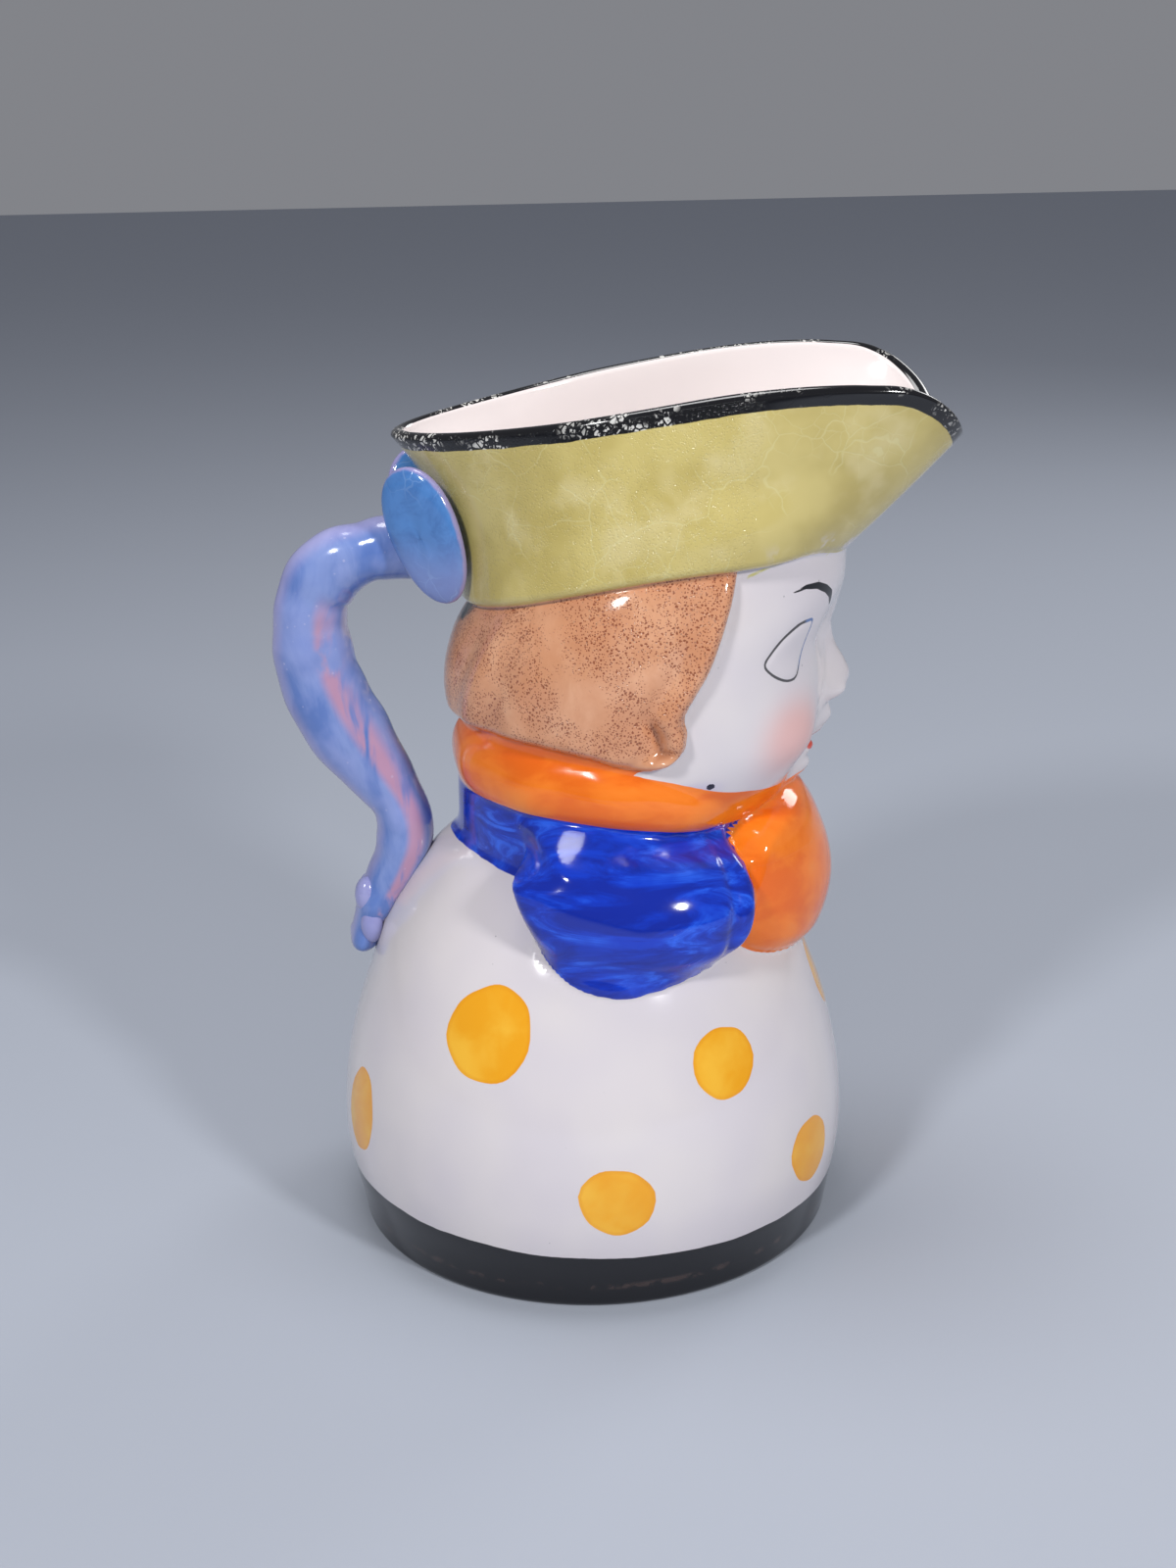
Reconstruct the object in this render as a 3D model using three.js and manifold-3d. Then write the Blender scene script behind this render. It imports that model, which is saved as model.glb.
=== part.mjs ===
// Toby jug, slip-cast and glazed in one piece: a bell-shaped body, folded sleeves, a puffed cravat,
// a scarf roll, a round doll face under smooth bobbed hair and a tall hat that flares to a pouring
// lip. A strap handle loops from the back of the hat to the back of the bell and ends in a tassel.
// Millimetres, +Z up, the figure looks along -Y, the middle of the underside is the origin.
import * as THREE from "three";
import { ParametricGeometry } from "three/addons/geometries/ParametricGeometry.js";
import { mergeVertices } from "three/addons/utils/BufferGeometryUtils.js";
import Module from "manifold-3d";

// ---- walls and lip
const wall = 4.0; // body wall of the casting
const hatWall = 3.4; // wall of the hat at the lip
const floorThick = 5.5; // floor inside the bell
const footRound = 1.3; // rounded edge under the foot
const lipRound = 1.6; // rise of the rounded lip
const clothEdge = 1.4; // step where the jacket and the hat start
const clothRound = 1.6; // height over which that step rounds over

// ---- vertical stations: [height, value]
// The middle of the level sections drifts forward from the bell to the hat.
const axisY = [[0, 0], [68, 0], [84, -2], [100, -7], [118, -12], [150, -14.5], [166, -18], [200, -21]];
const bellRadius = [[0, 55.3], [3, 55.9], [8, 56.8], [14, 58.1], [20, 58.9], [27, 58.9], [36, 58.0],
  [48, 55.4], [60, 51.4], [66, 49.0], [72, 46.0], [78, 42.4], [84, 38.2], [89, 34.2], [93, 30.2],
  [97, 26], [110, 18]];
const torsoFront = [[86, -38], [94, -38], [106, -36], [116, -34]];
const torsoBack = [[86, 28.6], [94, 29.4], [106, 29.2], [116, 28]];
const torsoHalf = [[86, 33], [94, 34], [106, 35], [116, 35]];
const headFront = [[96, -36], [100, -43], [104, -47.4], [108, -49.6], [113, -51.6], [118, -53.6],
  [124, -54.6], [132, -54.4], [138, -54.9], [144, -56.6], [150, -58.0], [156, -58.3], [166, -58.3]];
const headBack = [[96, 28], [104, 29], [112, 28.5], [118, 27], [124, 28.6], [132, 28.6], [140, 26.3],
  [145, 24.0], [149, 22.2], [166, 21.5]];
const headHalf = [[96, 30], [104, 34], [112, 36.2], [122, 37.2], [134, 37.8], [146, 36.9], [152, 35.6],
  [158, 34.4], [166, 33.6]];
const cravatFront = [[60, -46], [64.6, -49.6], [67, -51.2], [72, -54.0], [77, -55.7], [82, -56.3],
  [88, -55.5], [94, -53.5], [98.5, -51.4], [102, -49], [106, -45]];

// ---- stations around the figure: [degrees from the front, value]
const scarfHeight = [[0, 103.5], [45, 106.0], [75, 108.6], [100, 110.8], [130, 112.2], [180, 112.4]];
const scarfHalfHeight = [[0, 5.5], [45, 5.8], [100, 6.4], [180, 6.6]];

// ---- hat: its lower edge as an egg, and its mouth
const hatFront = -58.4;
const hatBack = 25.6;
const hatHalf = 38.6;
const lipFront = -83.2;
const lipBack = 41.2;
const lipSide = 34.8; // half width of the mouth
const lipMiddle = -21.0;
const lipLine = [[-83.2, 183.5], [-80, 188.4], [-76, 192.0], [-70, 195.0], [-60, 196.4], [-50, 196.6],
  [-38, 195.9], [-10, 192.0], [10, 188.7], [30, 185.7], [41.2, 184.3]]; // its side line, [y, z]

// ---- borders of the raised forms: [degrees from the front, z] round a closed curve
const perDegree = 0.75; // millimetres of surface to a degree, near enough for the edges
const hairThick = 2.8;
const hairSoft = 2.6; // how far in from its border the hair rounds over
const hairUnderHat = 3.5; // how far the hair runs up inside the hat
const hairFront = [[117, 90], [118.4, 84], [120.6, 79.6], [124.8, 77.8], [129.2, 79], [133.3, 76],
  [138.3, 71.6], [145, 67.8], [152.5, 65], [164, 64.5]]; // [z, degrees]
const hairHem = [[78, 118.8], [87, 117.8], [96, 118.2], [108, 120.2], [121, 121.4], [142, 122.2],
  [180, 120.4]]; // [degrees, z]
const sleeveEdge = [[124, 98], [119.5, 91], [111.5, 83.6], [102.8, 76.6], [93.4, 72], [83, 70],
  [71.5, 70.8], [60.5, 72.2], [53, 73.6], [47.6, 76.6], [44.6, 82], [43, 90], [43, 98],
  [50, 104.5], [87, 110], [116, 110], [129.5, 104]];
const sleeveMiddle = [78, 89];
const upperArmAt = [25, 5, 94];
const upperArmSize = [22, 20, 24];
const foreArmAt = [25, -10, 84];
const foreArmSize = [25, 30, 17.5];
const cravatEdge = [[0, 66.2], [16, 67.6], [33, 70.8], [43.5, 75.2], [47, 83], [46.5, 92], [41, 100],
  [22, 104.5], [0, 105.5]];
const cravatMiddle = [0, 86];
const sliver = 0.003; // vertices nearer than this are joined
const embed = 2.2; // a raised form's inner sheet lies in the wall, this far from the lining
const sunk = 0.9; // depth of a raised form where it lies under the skin
const scarfRise = 3.2; // rise of the scarf's roll above the neck
const scarfNeck = { front: -38, back: 27.4, half: 35.5 };

// ---- plates at the root of the handle
const plateSize = [9.4, 15.6, 3.2];
const plateAt = [12, 33.4, 164.6];
const plateAcross = [0.49, 0.87];
const plateLean = 0.24;

// ---- handle: centre line [y, z], half depth in its own plane, half width
const handleStations = [[28, 157.5, 7.6, 6.6], [41.4, 158, 7.4, 6.6], [47.6, 157, 7.4, 6.8],
  [53.8, 154.6, 8.2, 7.0], [58.2, 150, 8.5, 7.2], [60.1, 144.6, 8.6, 7.4], [60.4, 138, 8.9, 7.4],
  [59.4, 130, 9.7, 7.4], [56.4, 121.8, 10.0, 7.3], [51.6, 113.2, 9.3, 7.0], [45.8, 104.2, 7.7, 6.5],
  [42.4, 97.6, 6.6, 6.2], [41.8, 91.6, 6.9, 6.4], [43.6, 85.6, 6.3, 6.6], [46.6, 79.6, 5.6, 6.0],
  [49.4, 74.2, 5.0, 6.6], [51.2, 69.4, 4.2, 5.4], [52.2, 65.4, 3.8, 5.8], [52.0, 62.4, 2.4, 4.0]];

// ---- mesh steps
const around = 54;
const bellRows = 10;
const jacketRows = 3;
const scarfRows = 6;
const faceRows = 14;
const hatRows = 5;
const hairColumns = 30;
const hairRows = [0, 0.03, 0.1, 0.3, 0.5, 0.7, 0.88, 1];
const liningLevels = [178, 166, 153, 139, 125, 114, 103, 92, 77, 54, 26, 10.5];
const lipMean = 189; // middle height of the lip

const degrees = (radians) => radians * 180 / Math.PI;
const clamp = (x, low, high) => Math.min(Math.max(x, low), high);
const ease = (t) => clamp(t, 0, 1) ** 2 * (3 - 2 * clamp(t, 0, 1));
const roundOver = (t) => Math.sqrt(1 - (1 - clamp(t, 0, 1)) ** 2);

// Larger of two, with a fillet of radius-like width k where they meet.
function softMax(a, b, k) {
  const h = Math.max(k - Math.abs(a - b), 0) / k;
  return Math.max(a, b) + h * h * k / 4;
}

// Smooth curve through the stations.
function along(stations, at) {
  const n = stations.length;
  const x = clamp(at, stations[0][0], stations[n - 1][0]);
  let i = 0;
  while (i < n - 2 && x > stations[i + 1][0]) i += 1;
  const step = (j) => stations[j + 1][0] - stations[j][0];
  const slope = (j) => (stations[j + 1][1] - stations[j][1]) / step(j);
  const tangent = (j) => {
    if (j === 0) return slope(0);
    if (j === n - 1) return slope(n - 2);
    return (slope(j - 1) * step(j) + slope(j) * step(j - 1)) / (step(j) + step(j - 1));
  };
  const h = step(i);
  const t = (x - stations[i][0]) / h;
  return stations[i][1] * (1 + 2 * t) * (1 - t) ** 2 + tangent(i) * h * t * (1 - t) ** 2
    + stations[i + 1][1] * t * t * (3 - 2 * t) + tangent(i + 1) * h * t * t * (t - 1);
}

// Closed smooth border in millimetres across and up.
function borderCurve(points) {
  const corners = points.map(([turn, z]) => new THREE.Vector3(turn * perDegree, z, 0));
  return new THREE.CatmullRomCurve3(corners, true);
}

// Signed distance to a border, positive inside.
function distanceInside(curve) {
  const ring = curve.getPoints(curve.points.length * 5).slice(0, -1);
  return (u, v) => {
    let nearest = Infinity;
    let within = false;
    ring.forEach((a, i) => {
      const b = ring[(i + 1) % ring.length];
      const du = b.x - a.x;
      const dv = b.y - a.y;
      const t = clamp(((u - a.x) * du + (v - a.y) * dv) / (du * du + dv * dv + 1e-12), 0, 1);
      nearest = Math.min(nearest, Math.hypot(u - a.x - t * du, v - a.y - t * dv));
      const crosses = (a.y > v) !== (b.y > v);
      if (crosses && u < a.x + (v - a.y) * du / dv) within = !within;
    });
    return within ? nearest : -nearest;
  };
}

// Distance from the axis to a circle about the origin.
function circleRadius(angle, middle, radius) {
  const c = middle * Math.cos(angle);
  return c + Math.sqrt(Math.max(c * c - middle * middle + radius * radius, 1e-6));
}

// Egg section: separate reach to the front and to the back of its middle.
function egg(angle, middle, front, back, half, skew = 0) {
  const c = Math.cos(angle);
  const reach = c > 0 ? middle - front : back - middle;
  return 1 / Math.hypot(Math.sin(angle) / (half * (1 + skew * c)), c / reach);
}

// Where the level ray leaves an ellipsoid that is repeated on both sides of the figure.
function ellipsoidRadius(angle, z, middle, centre, size) {
  const dx = Math.abs(Math.sin(angle)) / size[0];
  const dy = -Math.cos(angle) / size[1];
  const ox = -centre[0] / size[0];
  const oy = (middle - centre[1]) / size[1];
  const level = 1 - ((z - centre[2]) / size[2]) ** 2;
  const a = dx * dx + dy * dy;
  const b = ox * dx + oy * dy;
  const c = ox * ox + oy * oy - level;
  const root = b * b - a * c;
  return root > 0 ? (-b + Math.sqrt(root)) / a : -50;
}

// Every form is the same on both sides, so an angle counts from the front either way.
const fromFront = (angle) => Math.abs(angle - 2 * Math.PI * Math.round(angle / (2 * Math.PI)));

// Adds the other half of a border that crosses the front.
function bothSides(points) {
  const other = points.filter(([turn]) => turn > 0).map(([turn, z]) => [-turn, z]);
  return [...points, ...other.reverse()];
}

const sleeveBorder = borderCurve(sleeveEdge);
const cravatBorder = borderCurve(bothSides(cravatEdge));

function hatEdge(angle) {
  return 155.2 + 5.1 * Math.cos(angle) - 3.1 * Math.cos(2 * angle);
}

// Mouth of the hat: nearly square across the front, drawn in towards the back.
function lipRadius(angle) {
  const c = Math.cos(angle);
  const square = 1.75 + 2.75 * ease(0.5 + 0.5 * c);
  const reach = c > 0 ? lipMiddle - lipFront : lipBack - lipMiddle;
  const across = Math.abs(Math.sin(angle)) / (lipSide + 0.8 * c);
  return (across ** square + (Math.abs(c) / reach) ** square) ** (-1 / square);
}

function lipHeight(angle) {
  return along(lipLine, lipMiddle - lipRadius(angle) * Math.cos(angle));
}

// Smooth hump on the face: middle of the hump across and up, its reach each way, its height.
function hump(x, z, [cx, cz], [wx, wz], height) {
  return height * Math.exp(-(((x - cx) / wx) ** 2) - (((z - cz) / wz) ** 2));
}

const noseHeight = [[121.8, 0], [122.8, 2.6], [124.4, 4.2], [127.2, 5.0], [130.4, 4.0], [134, 2.0],
  [140, 0]];
const noseHalf = [[121, 4.4], [124.4, 5.6], [127, 5.6], [131, 4.4], [140, 3.4]];

function faceRelief(x, z) {
  const inNose = z > 121.8 && z < 140 ? Math.max(1 - (x / along(noseHalf, z)) ** 2, 0) ** 1.2 : 0;
  return along(noseHeight, z) * inNose
    + hump(x, z, [18, 116.5], [9.5, 8.5], 2.6) // cheek
    + hump(x, z, [0, 104.8], [7, 4.2], 2.2) // chin
    + hump(x, z, [0, 117.2], [5.5, 3.8], 2.6) // upper lip
    + hump(x, z, [0, 110.6], [4.4, 1.8], 1.6) // lower lip
    - hump(x, z, [15.5, 139.5], [6.5, 5.5], 1.3); // eye
}

// Outer skin of the casting below the hat and in it: distance from the axis.
function headSection(angle, z, middle) {
  return egg(angle, middle, along(headFront, z), along(headBack, z), along(headHalf, z));
}

function bellSection(angle, z, middle) {
  return circleRadius(angle, middle, along(bellRadius, z));
}

function torsoSection(angle, z, middle) {
  return egg(angle, middle, along(torsoFront, z), along(torsoBack, z), along(torsoHalf, z));
}

function hatSection(angle, z) {
  const low = hatEdge(angle);
  const share = clamp((z - low) / (lipHeight(angle) - low), 0, 1);
  const c = Math.cos(angle);
  const flare = c > 0 ? 1.3 - 0.25 * ease(c * 1.15) : 1.3 + 0.5 * ease(-c);
  const bottom = egg(angle, along(axisY, low), hatFront, hatBack, hatHalf);
  return bottom + (lipRadius(angle) - bottom) * share ** flare;
}

// Lower edge of the jacket, a little lower behind the arms.
function hemHeight(angle) {
  return 92.8 - 2.2 * Math.exp(-(((degrees(angle) - 115) / 25) ** 2));
}

// Bell, jacket, scarf, head and hat: distance of the skin from the axis, without sleeves, cravat
// and hair.
function skinRadius(signedAngle, z) {
  const angle = fromFront(signedAngle);
  const middle = along(axisY, z);
  let radius = bellSection(angle, z, middle);
  const aboveHem = z - hemHeight(angle);
  if (aboveHem > -0.1 && z < 122) {
    const edge = clothEdge * (1 - roundOver(aboveHem / clothRound));
    radius = softMax(radius, torsoSection(angle, z, middle) - edge, 1.2);
  }
  const turn = degrees(angle);
  const lift = 1 - ((z - along(scarfHeight, turn)) / along(scarfHalfHeight, turn)) ** 2;
  if (lift > -0.02) {
    const neck = egg(angle, middle, scarfNeck.front, scarfNeck.back, scarfNeck.half);
    radius = softMax(radius, neck + scarfRise * Math.sqrt(Math.max(lift, 0)), 0.9);
  }
  if (z > 97) {
    const head = headSection(angle, z, middle);
    const relief = Math.cos(angle) > 0 ? faceRelief(head * Math.sin(angle), z) : 0;
    radius = softMax(radius, head + relief, 1);
  }
  const aboveBrim = z - hatEdge(angle);
  if (aboveBrim > -0.5) {
    const edge = clothEdge * (1 - roundOver(aboveBrim / clothRound));
    radius = softMax(radius, hatSection(angle, z) - edge, 0.7);
  }
  return radius;
}

function sleeveRadius(signedAngle, z) {
  const angle = fromFront(signedAngle);
  const middle = along(axisY, z);
  const upperArm = ellipsoidRadius(angle, z, middle, upperArmAt, upperArmSize);
  const foreArm = ellipsoidRadius(angle, z, middle, foreArmAt, foreArmSize);
  return softMax(upperArm, foreArm, 5);
}

function cravatRadius(signedAngle, z) {
  return egg(fromFront(signedAngle), along(axisY, z), along(cravatFront, z), 20, 41 - 0.12 * (z - 84));
}

function hairRadius(signedAngle, z) {
  const angle = fromFront(signedAngle);
  return headSection(angle, z, along(axisY, z)) + hairThick;
}

// Inside of the casting follows the large forms only.
function liningRadius(signedAngle, z) {
  const angle = fromFront(signedAngle);
  const middle = along(axisY, z);
  let radius = bellSection(angle, z, middle) - wall;
  if (z > 84) {
    radius = softMax(radius, torsoSection(angle, z, middle) - wall - 0.6, 3);
  }
  if (z > 97) {
    radius = softMax(radius, headSection(angle, z, middle) - wall, 3);
  }
  const aboveBrim = z - hatEdge(angle);
  if (aboveBrim > 0) {
    const thick = hatWall + 1.1 * Math.max(Math.cos(angle), 0) ** 2 + 3.4 * (1 - ease(aboveBrim / 14));
    radius = softMax(radius, hatSection(angle, z) - thick, 2);
  }
  return radius;
}

// One turn of the skin from the underside, up the outside, over the lip and down to the floor.
const rings = [];
const addRing = (radiusAt, heightAt) => {
  rings.push((angle) => [radiusAt(angle, heightAt(angle)), heightAt(angle)]);
};
// Rows from one border of the skin up to the next, the first row included.
const addSkin = (rows, lowAt, topAt, shareOf = (t) => t) => {
  for (let i = 0; i < rows; i += 1) {
    const share = shareOf(i / rows);
    addRing(skinRadius, (signedAngle) => {
      const angle = fromFront(signedAngle);
      return lowAt(angle) + (topAt(angle) - lowAt(angle)) * share;
    });
  }
};
const scarfLow = (angle) => along(scarfHeight, degrees(angle)) - along(scarfHalfHeight, degrees(angle));
const scarfTop = (angle) => along(scarfHeight, degrees(angle)) + along(scarfHalfHeight, degrees(angle));
addRing(() => 0, () => 0);
addRing(() => bellRadius[0][1] - footRound, () => 0);
addRing(() => bellRadius[0][1] - footRound * 0.3, () => footRound * 0.3);
addSkin(bellRows, () => footRound, (angle) => hemHeight(angle) - 0.2);
addSkin(1, (angle) => hemHeight(angle) - 0.2, hemHeight);
addSkin(jacketRows, (angle) => hemHeight(angle) + 0.8, scarfLow);
addSkin(scarfRows, scarfLow, scarfTop, (t) => (1 - Math.cos(Math.PI * t)) / 2);
addSkin(faceRows, scarfTop, (angle) => hatEdge(angle) - 0.6);
addSkin(1, (angle) => hatEdge(angle) - 0.6, hatEdge);
const lipShoulder = (angle) => lipHeight(angle) - lipRound;
addSkin(hatRows, (angle) => hatEdge(angle) + 0.6, lipShoulder, (t) => t ** 1.15);
for (let i = 0; i <= 4; i += 1) {
  const turn = Math.PI * i / 4;
  addRing((angle) => {
    const outside = lipRadius(angle);
    const half = (outside - liningRadius(angle, lipShoulder(angle))) / 2;
    return outside - half * (1 - Math.cos(turn));
  }, (angle) => lipShoulder(angle) + lipRound * Math.sin(turn));
}
for (const level of liningLevels) {
  const drop = (angle) => (lipHeight(angle) - lipMean) * clamp((level - 118) / (lipMean - 118), 0, 1);
  addRing(liningRadius, (angle) => level + drop(angle));
}
addRing((angle) => liningRadius(angle, floorThick + 3) - 2.4, () => floorThick + 1.6);
addRing((angle) => liningRadius(angle, floorThick + 3) - 7, () => floorThick);
addRing(() => 0, () => floorThick);

// Columns stand closer together across the face.
function columnAngle(u) {
  const turn = 2 * Math.PI * u;
  return turn - 0.34 * Math.sin(turn);
}

// Geometry with near vertices joined and the empty triangles left out.
function welded(geometry, tolerance) {
  const merged = mergeVertices(geometry, tolerance);
  const corner = merged.index.array;
  const kept = [];
  for (let i = 0; i < corner.length; i += 3) {
    const [a, b, c] = [corner[i], corner[i + 1], corner[i + 2]];
    if (a !== b && b !== c && c !== a) kept.push(a, b, c);
  }
  merged.setIndex(kept);
  return merged;
}

// Solid of a closed geometry, its faces turned out.
function solidOf(wasm, geometry) {
  geometry.deleteAttribute("normal");
  geometry.deleteAttribute("uv");
  const whole = welded(geometry, 1e-4);
  const corners = [...whole.index.array];
  const solid = (triVerts) => new wasm.Manifold(new wasm.Mesh({
    numProp: 3,
    vertProperties: new Float32Array(whole.attributes.position.array),
    triVerts: new Uint32Array(triVerts),
  }));
  const made = solid(corners);
  return made.volume() > 0 ? made : solid(corners.reverse());
}

// Point of a level section: angle from the front, distance from the axis, height.
function place(target, angle, radius, z) {
  const middle = along(axisY, z);
  return target.set(radius * Math.sin(angle), middle - radius * Math.cos(angle), z);
}

function bodyGeometry() {
  const last = rings.length - 1;
  return new ParametricGeometry((u, v, target) => {
    const angle = columnAngle(u === 1 ? 0 : u);
    const [radius, z] = rings[Math.round(v * last)](angle);
    place(target, angle, radius, z);
  }, around, last);
}

// Raised form inside a border: an outer sheet that rounds down at the border, closed by an inner
// sheet in the wall.
function raisedGeometry(curve, [middleTurn, middleZ], formRadius, soft, side, columns, shares) {
  const inside = distanceInside(curve);
  const last = 2 * (shares.length - 1);
  return new ParametricGeometry((u, v, target) => {
    const ring = Math.round(v * last);
    const outer = ring < shares.length;
    const share = outer ? shares[ring] : shares[last - ring];
    const edge = curve.getPoint(u === 1 ? 0 : u);
    const across = middleTurn * perDegree + (edge.x - middleTurn * perDegree) * share;
    const z = middleZ + (edge.y - middleZ) * share;
    const angle = across / perDegree * Math.PI / 180;
    const skin = skinRadius(angle, z);
    const form = formRadius(angle, z);
    const lift = Math.max(form - skin, 0) * roundOver(inside(across, z) / soft);
    const raised = form > skin ? skin + lift : skin - sunk;
    const radius = outer && share < 1 ? raised : liningRadius(angle, z) + embed;
    place(target, side * angle, radius, z);
  }, columns, last);
}

// Bobbed hair: a cap from one front edge round the back to the other, closed in the wall.
function hairGeometry() {
  const last = 2 * (hairRows.length - 1);
  return new ParametricGeometry((u, v, target) => {
    const row = Math.round(v * last) % last;
    const outer = row < hairRows.length;
    const share = outer ? hairRows[row] : hairRows[last - row];
    const front = along(hairFront, 118 + 44 * share);
    const across = 0.5 * u + 0.25 * (1 - Math.cos(Math.PI * u));
    const turn = front + (360 - 2 * front) * across;
    const angle = turn * Math.PI / 180;
    const aside = Math.min(turn, 360 - turn);
    const low = along(hairHem, aside);
    const z = low + (hatEdge(fromFront(angle)) + hairUnderHat - low) * share;
    const skin = skinRadius(angle, z);
    const form = hairRadius(angle, z);
    const inside = Math.min((aside - along(hairFront, z)) * perDegree, z - low);
    const lift = Math.max(form - skin, 0) * roundOver(inside / hairSoft);
    const raised = form > skin ? skin + lift : skin - sunk;
    const onBorder = share === 0 || share === 1 || u === 0 || u === 1;
    place(target, angle, outer && !onBorder ? raised : liningRadius(angle, z) + embed, z);
  }, hairColumns, last);
}

function handleGeometry() {
  const centre = new THREE.CatmullRomCurve3(handleStations.map(([y, z]) => new THREE.Vector3(0, y, z)));
  const steps = 26;
  const last = handleStations.length - 1;
  const stationAt = (column, t) => along(handleStations.map((row, i) => [i / last, row[column]]), t);
  return new ParametricGeometry((u, v, target) => {
    const ring = Math.round(v * steps) - 1;
    const t = clamp(ring / (steps - 2), 0, 1);
    const point = centre.getPoint(t);
    const run = centre.getTangent(t);
    const closed = ring < 0 || ring > steps - 2 ? 0 : 1;
    const turn = 2 * Math.PI * (u === 1 ? 0 : u);
    const deep = stationAt(2, t) * Math.cos(turn) * closed;
    const wide = stationAt(3, t) * Math.sin(turn) * closed;
    target.set(wide, point.y - run.z * deep, point.z + run.y * deep);
  }, 10, steps);
}

function plateGeometry(side) {
  const plate = new THREE.SphereGeometry(1, 16, 6);
  plate.rotateX(Math.PI / 2);
  plate.scale(...plateSize);
  const across = new THREE.Vector3(-side * plateAcross[0], plateAcross[1], 0);
  const leaning = new THREE.Vector3(0, plateLean, 0.97);
  const out = new THREE.Vector3().crossVectors(across, leaning).normalize();
  const up = new THREE.Vector3().crossVectors(out, across);
  const turned = new THREE.Matrix4().makeBasis(across, up, out);
  plate.applyMatrix4(turned.setPosition(side * plateAt[0], plateAt[1], plateAt[2]));
  return plate;
}

function ellipsoidGeometry([cx, cy, cz], [rx, ry, rz]) {
  const ball = new THREE.SphereGeometry(1, 8, 6);
  ball.scale(rx, ry, rz);
  ball.translate(cx, cy, cz);
  return ball;
}

const wasm = await Module();
wasm.setup();
const closeToEdge = [0, 0.4, 0.68, 0.86, 0.95, 1];
const raisedForms = [
  raisedGeometry(sleeveBorder, sleeveMiddle, sleeveRadius, 4, 1, 26, closeToEdge),
  raisedGeometry(sleeveBorder, sleeveMiddle, sleeveRadius, 4, -1, 26, closeToEdge),
  raisedGeometry(cravatBorder, cravatMiddle, cravatRadius, 6.5, 1, 26, closeToEdge),
  hairGeometry(),
  handleGeometry(),
  plateGeometry(1),
  plateGeometry(-1),
  ellipsoidGeometry([0, 34.6, 166], [8.6, 6.6, 9]),
];
const joined = raisedForms.reduce(
  (whole, geometry) => whole.add(solidOf(wasm, geometry)),
  solidOf(wasm, bodyGeometry()),
);
// The outer shell alone: slivers of space shut in under the hair are filled with clay.
const shells = joined.decompose().sort((a, b) => b.volume() - a.volume());

const surface = shells[0].getMesh();
const shell = new THREE.BufferGeometry();
shell.setAttribute("position", new THREE.BufferAttribute(surface.vertProperties, 3));
shell.setIndex(new THREE.BufferAttribute(surface.triVerts, 1));
const geometry = welded(shell, sliver);
geometry.computeVertexNormals();

const jug = new THREE.Mesh(geometry, new THREE.MeshStandardMaterial({
  color: 0xd9d4da,
  roughness: 0.12,
  metalness: 0,
}));
jug.name = "jug";

const group = new THREE.Group();
group.add(jug);
export default group;
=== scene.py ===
# Toby jug: a slip-cast earthenware figure, hand painted under a clear glossy glaze.
# The cast is one closed surface: level sections round an axis that drifts forward, over the lip
# and down the lining, with the handle and its two side plates joined on.
# Lengths are millimetres until a mesh is made. Angles are 0 at the figure's front.
import math
import bmesh
import bpy
import numpy as np
from functools import partial
from mathutils import Matrix, Vector


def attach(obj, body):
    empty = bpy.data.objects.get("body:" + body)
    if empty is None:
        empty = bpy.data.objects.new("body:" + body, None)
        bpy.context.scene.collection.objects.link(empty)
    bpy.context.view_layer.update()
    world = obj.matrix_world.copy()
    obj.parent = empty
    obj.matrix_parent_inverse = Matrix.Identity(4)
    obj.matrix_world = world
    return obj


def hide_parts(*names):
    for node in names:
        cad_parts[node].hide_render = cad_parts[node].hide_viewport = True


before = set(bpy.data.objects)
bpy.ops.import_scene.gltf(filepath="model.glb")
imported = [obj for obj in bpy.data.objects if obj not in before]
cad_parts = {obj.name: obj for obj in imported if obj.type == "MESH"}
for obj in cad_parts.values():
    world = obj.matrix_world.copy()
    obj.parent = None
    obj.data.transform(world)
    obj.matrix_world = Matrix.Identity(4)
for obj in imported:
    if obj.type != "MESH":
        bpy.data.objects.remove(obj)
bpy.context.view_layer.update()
mm = 0.001


def along(stations, at):  # smooth curve through the stations [at, value]
    table = np.array(stations, float)
    x, y = table[:, 0], table[:, 1]
    step = np.diff(x)
    slope = np.diff(y) / step
    tangent = np.empty_like(y)
    tangent[0], tangent[-1] = slope[0], slope[-1]
    tangent[1:-1] = (slope[:-1] * step[1:] + slope[1:] * step[:-1]) / (step[1:] + step[:-1])
    at = np.clip(at, x[0], x[-1])
    i = np.clip(np.searchsorted(x, at, side="right") - 1, 0, len(x) - 2)
    h = step[i]
    t = (at - x[i]) / h
    return (y[i] * (1 + 2 * t) * (1 - t) ** 2 + tangent[i] * h * t * (1 - t) ** 2
            + y[i + 1] * t * t * (3 - 2 * t) + tangent[i + 1] * h * t * t * (t - 1))


def ease(t):  # 0 to 1 with level ends
    t = np.clip(t, 0, 1)
    return t * t * (3 - 2 * t)


def roundOver(t):  # quarter circle from 0 to 1, steep at its start
    return np.sqrt(1 - (1 - np.clip(t, 0, 1)) ** 2)


def softMax(a, b, k):  # the larger of two, run together over k millimetres
    h = np.maximum(k - np.abs(a - b), 0) / k
    return np.maximum(a, b) + h * h * k / 4


def hump(x, z, centre, reach, height):
    return height * np.exp(-((x - centre[0]) / reach[0]) ** 2 - ((z - centre[1]) / reach[1]) ** 2)


def swell(x, at, reach, height):
    return height * np.exp(-((x - at) / reach) ** 2)


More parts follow.
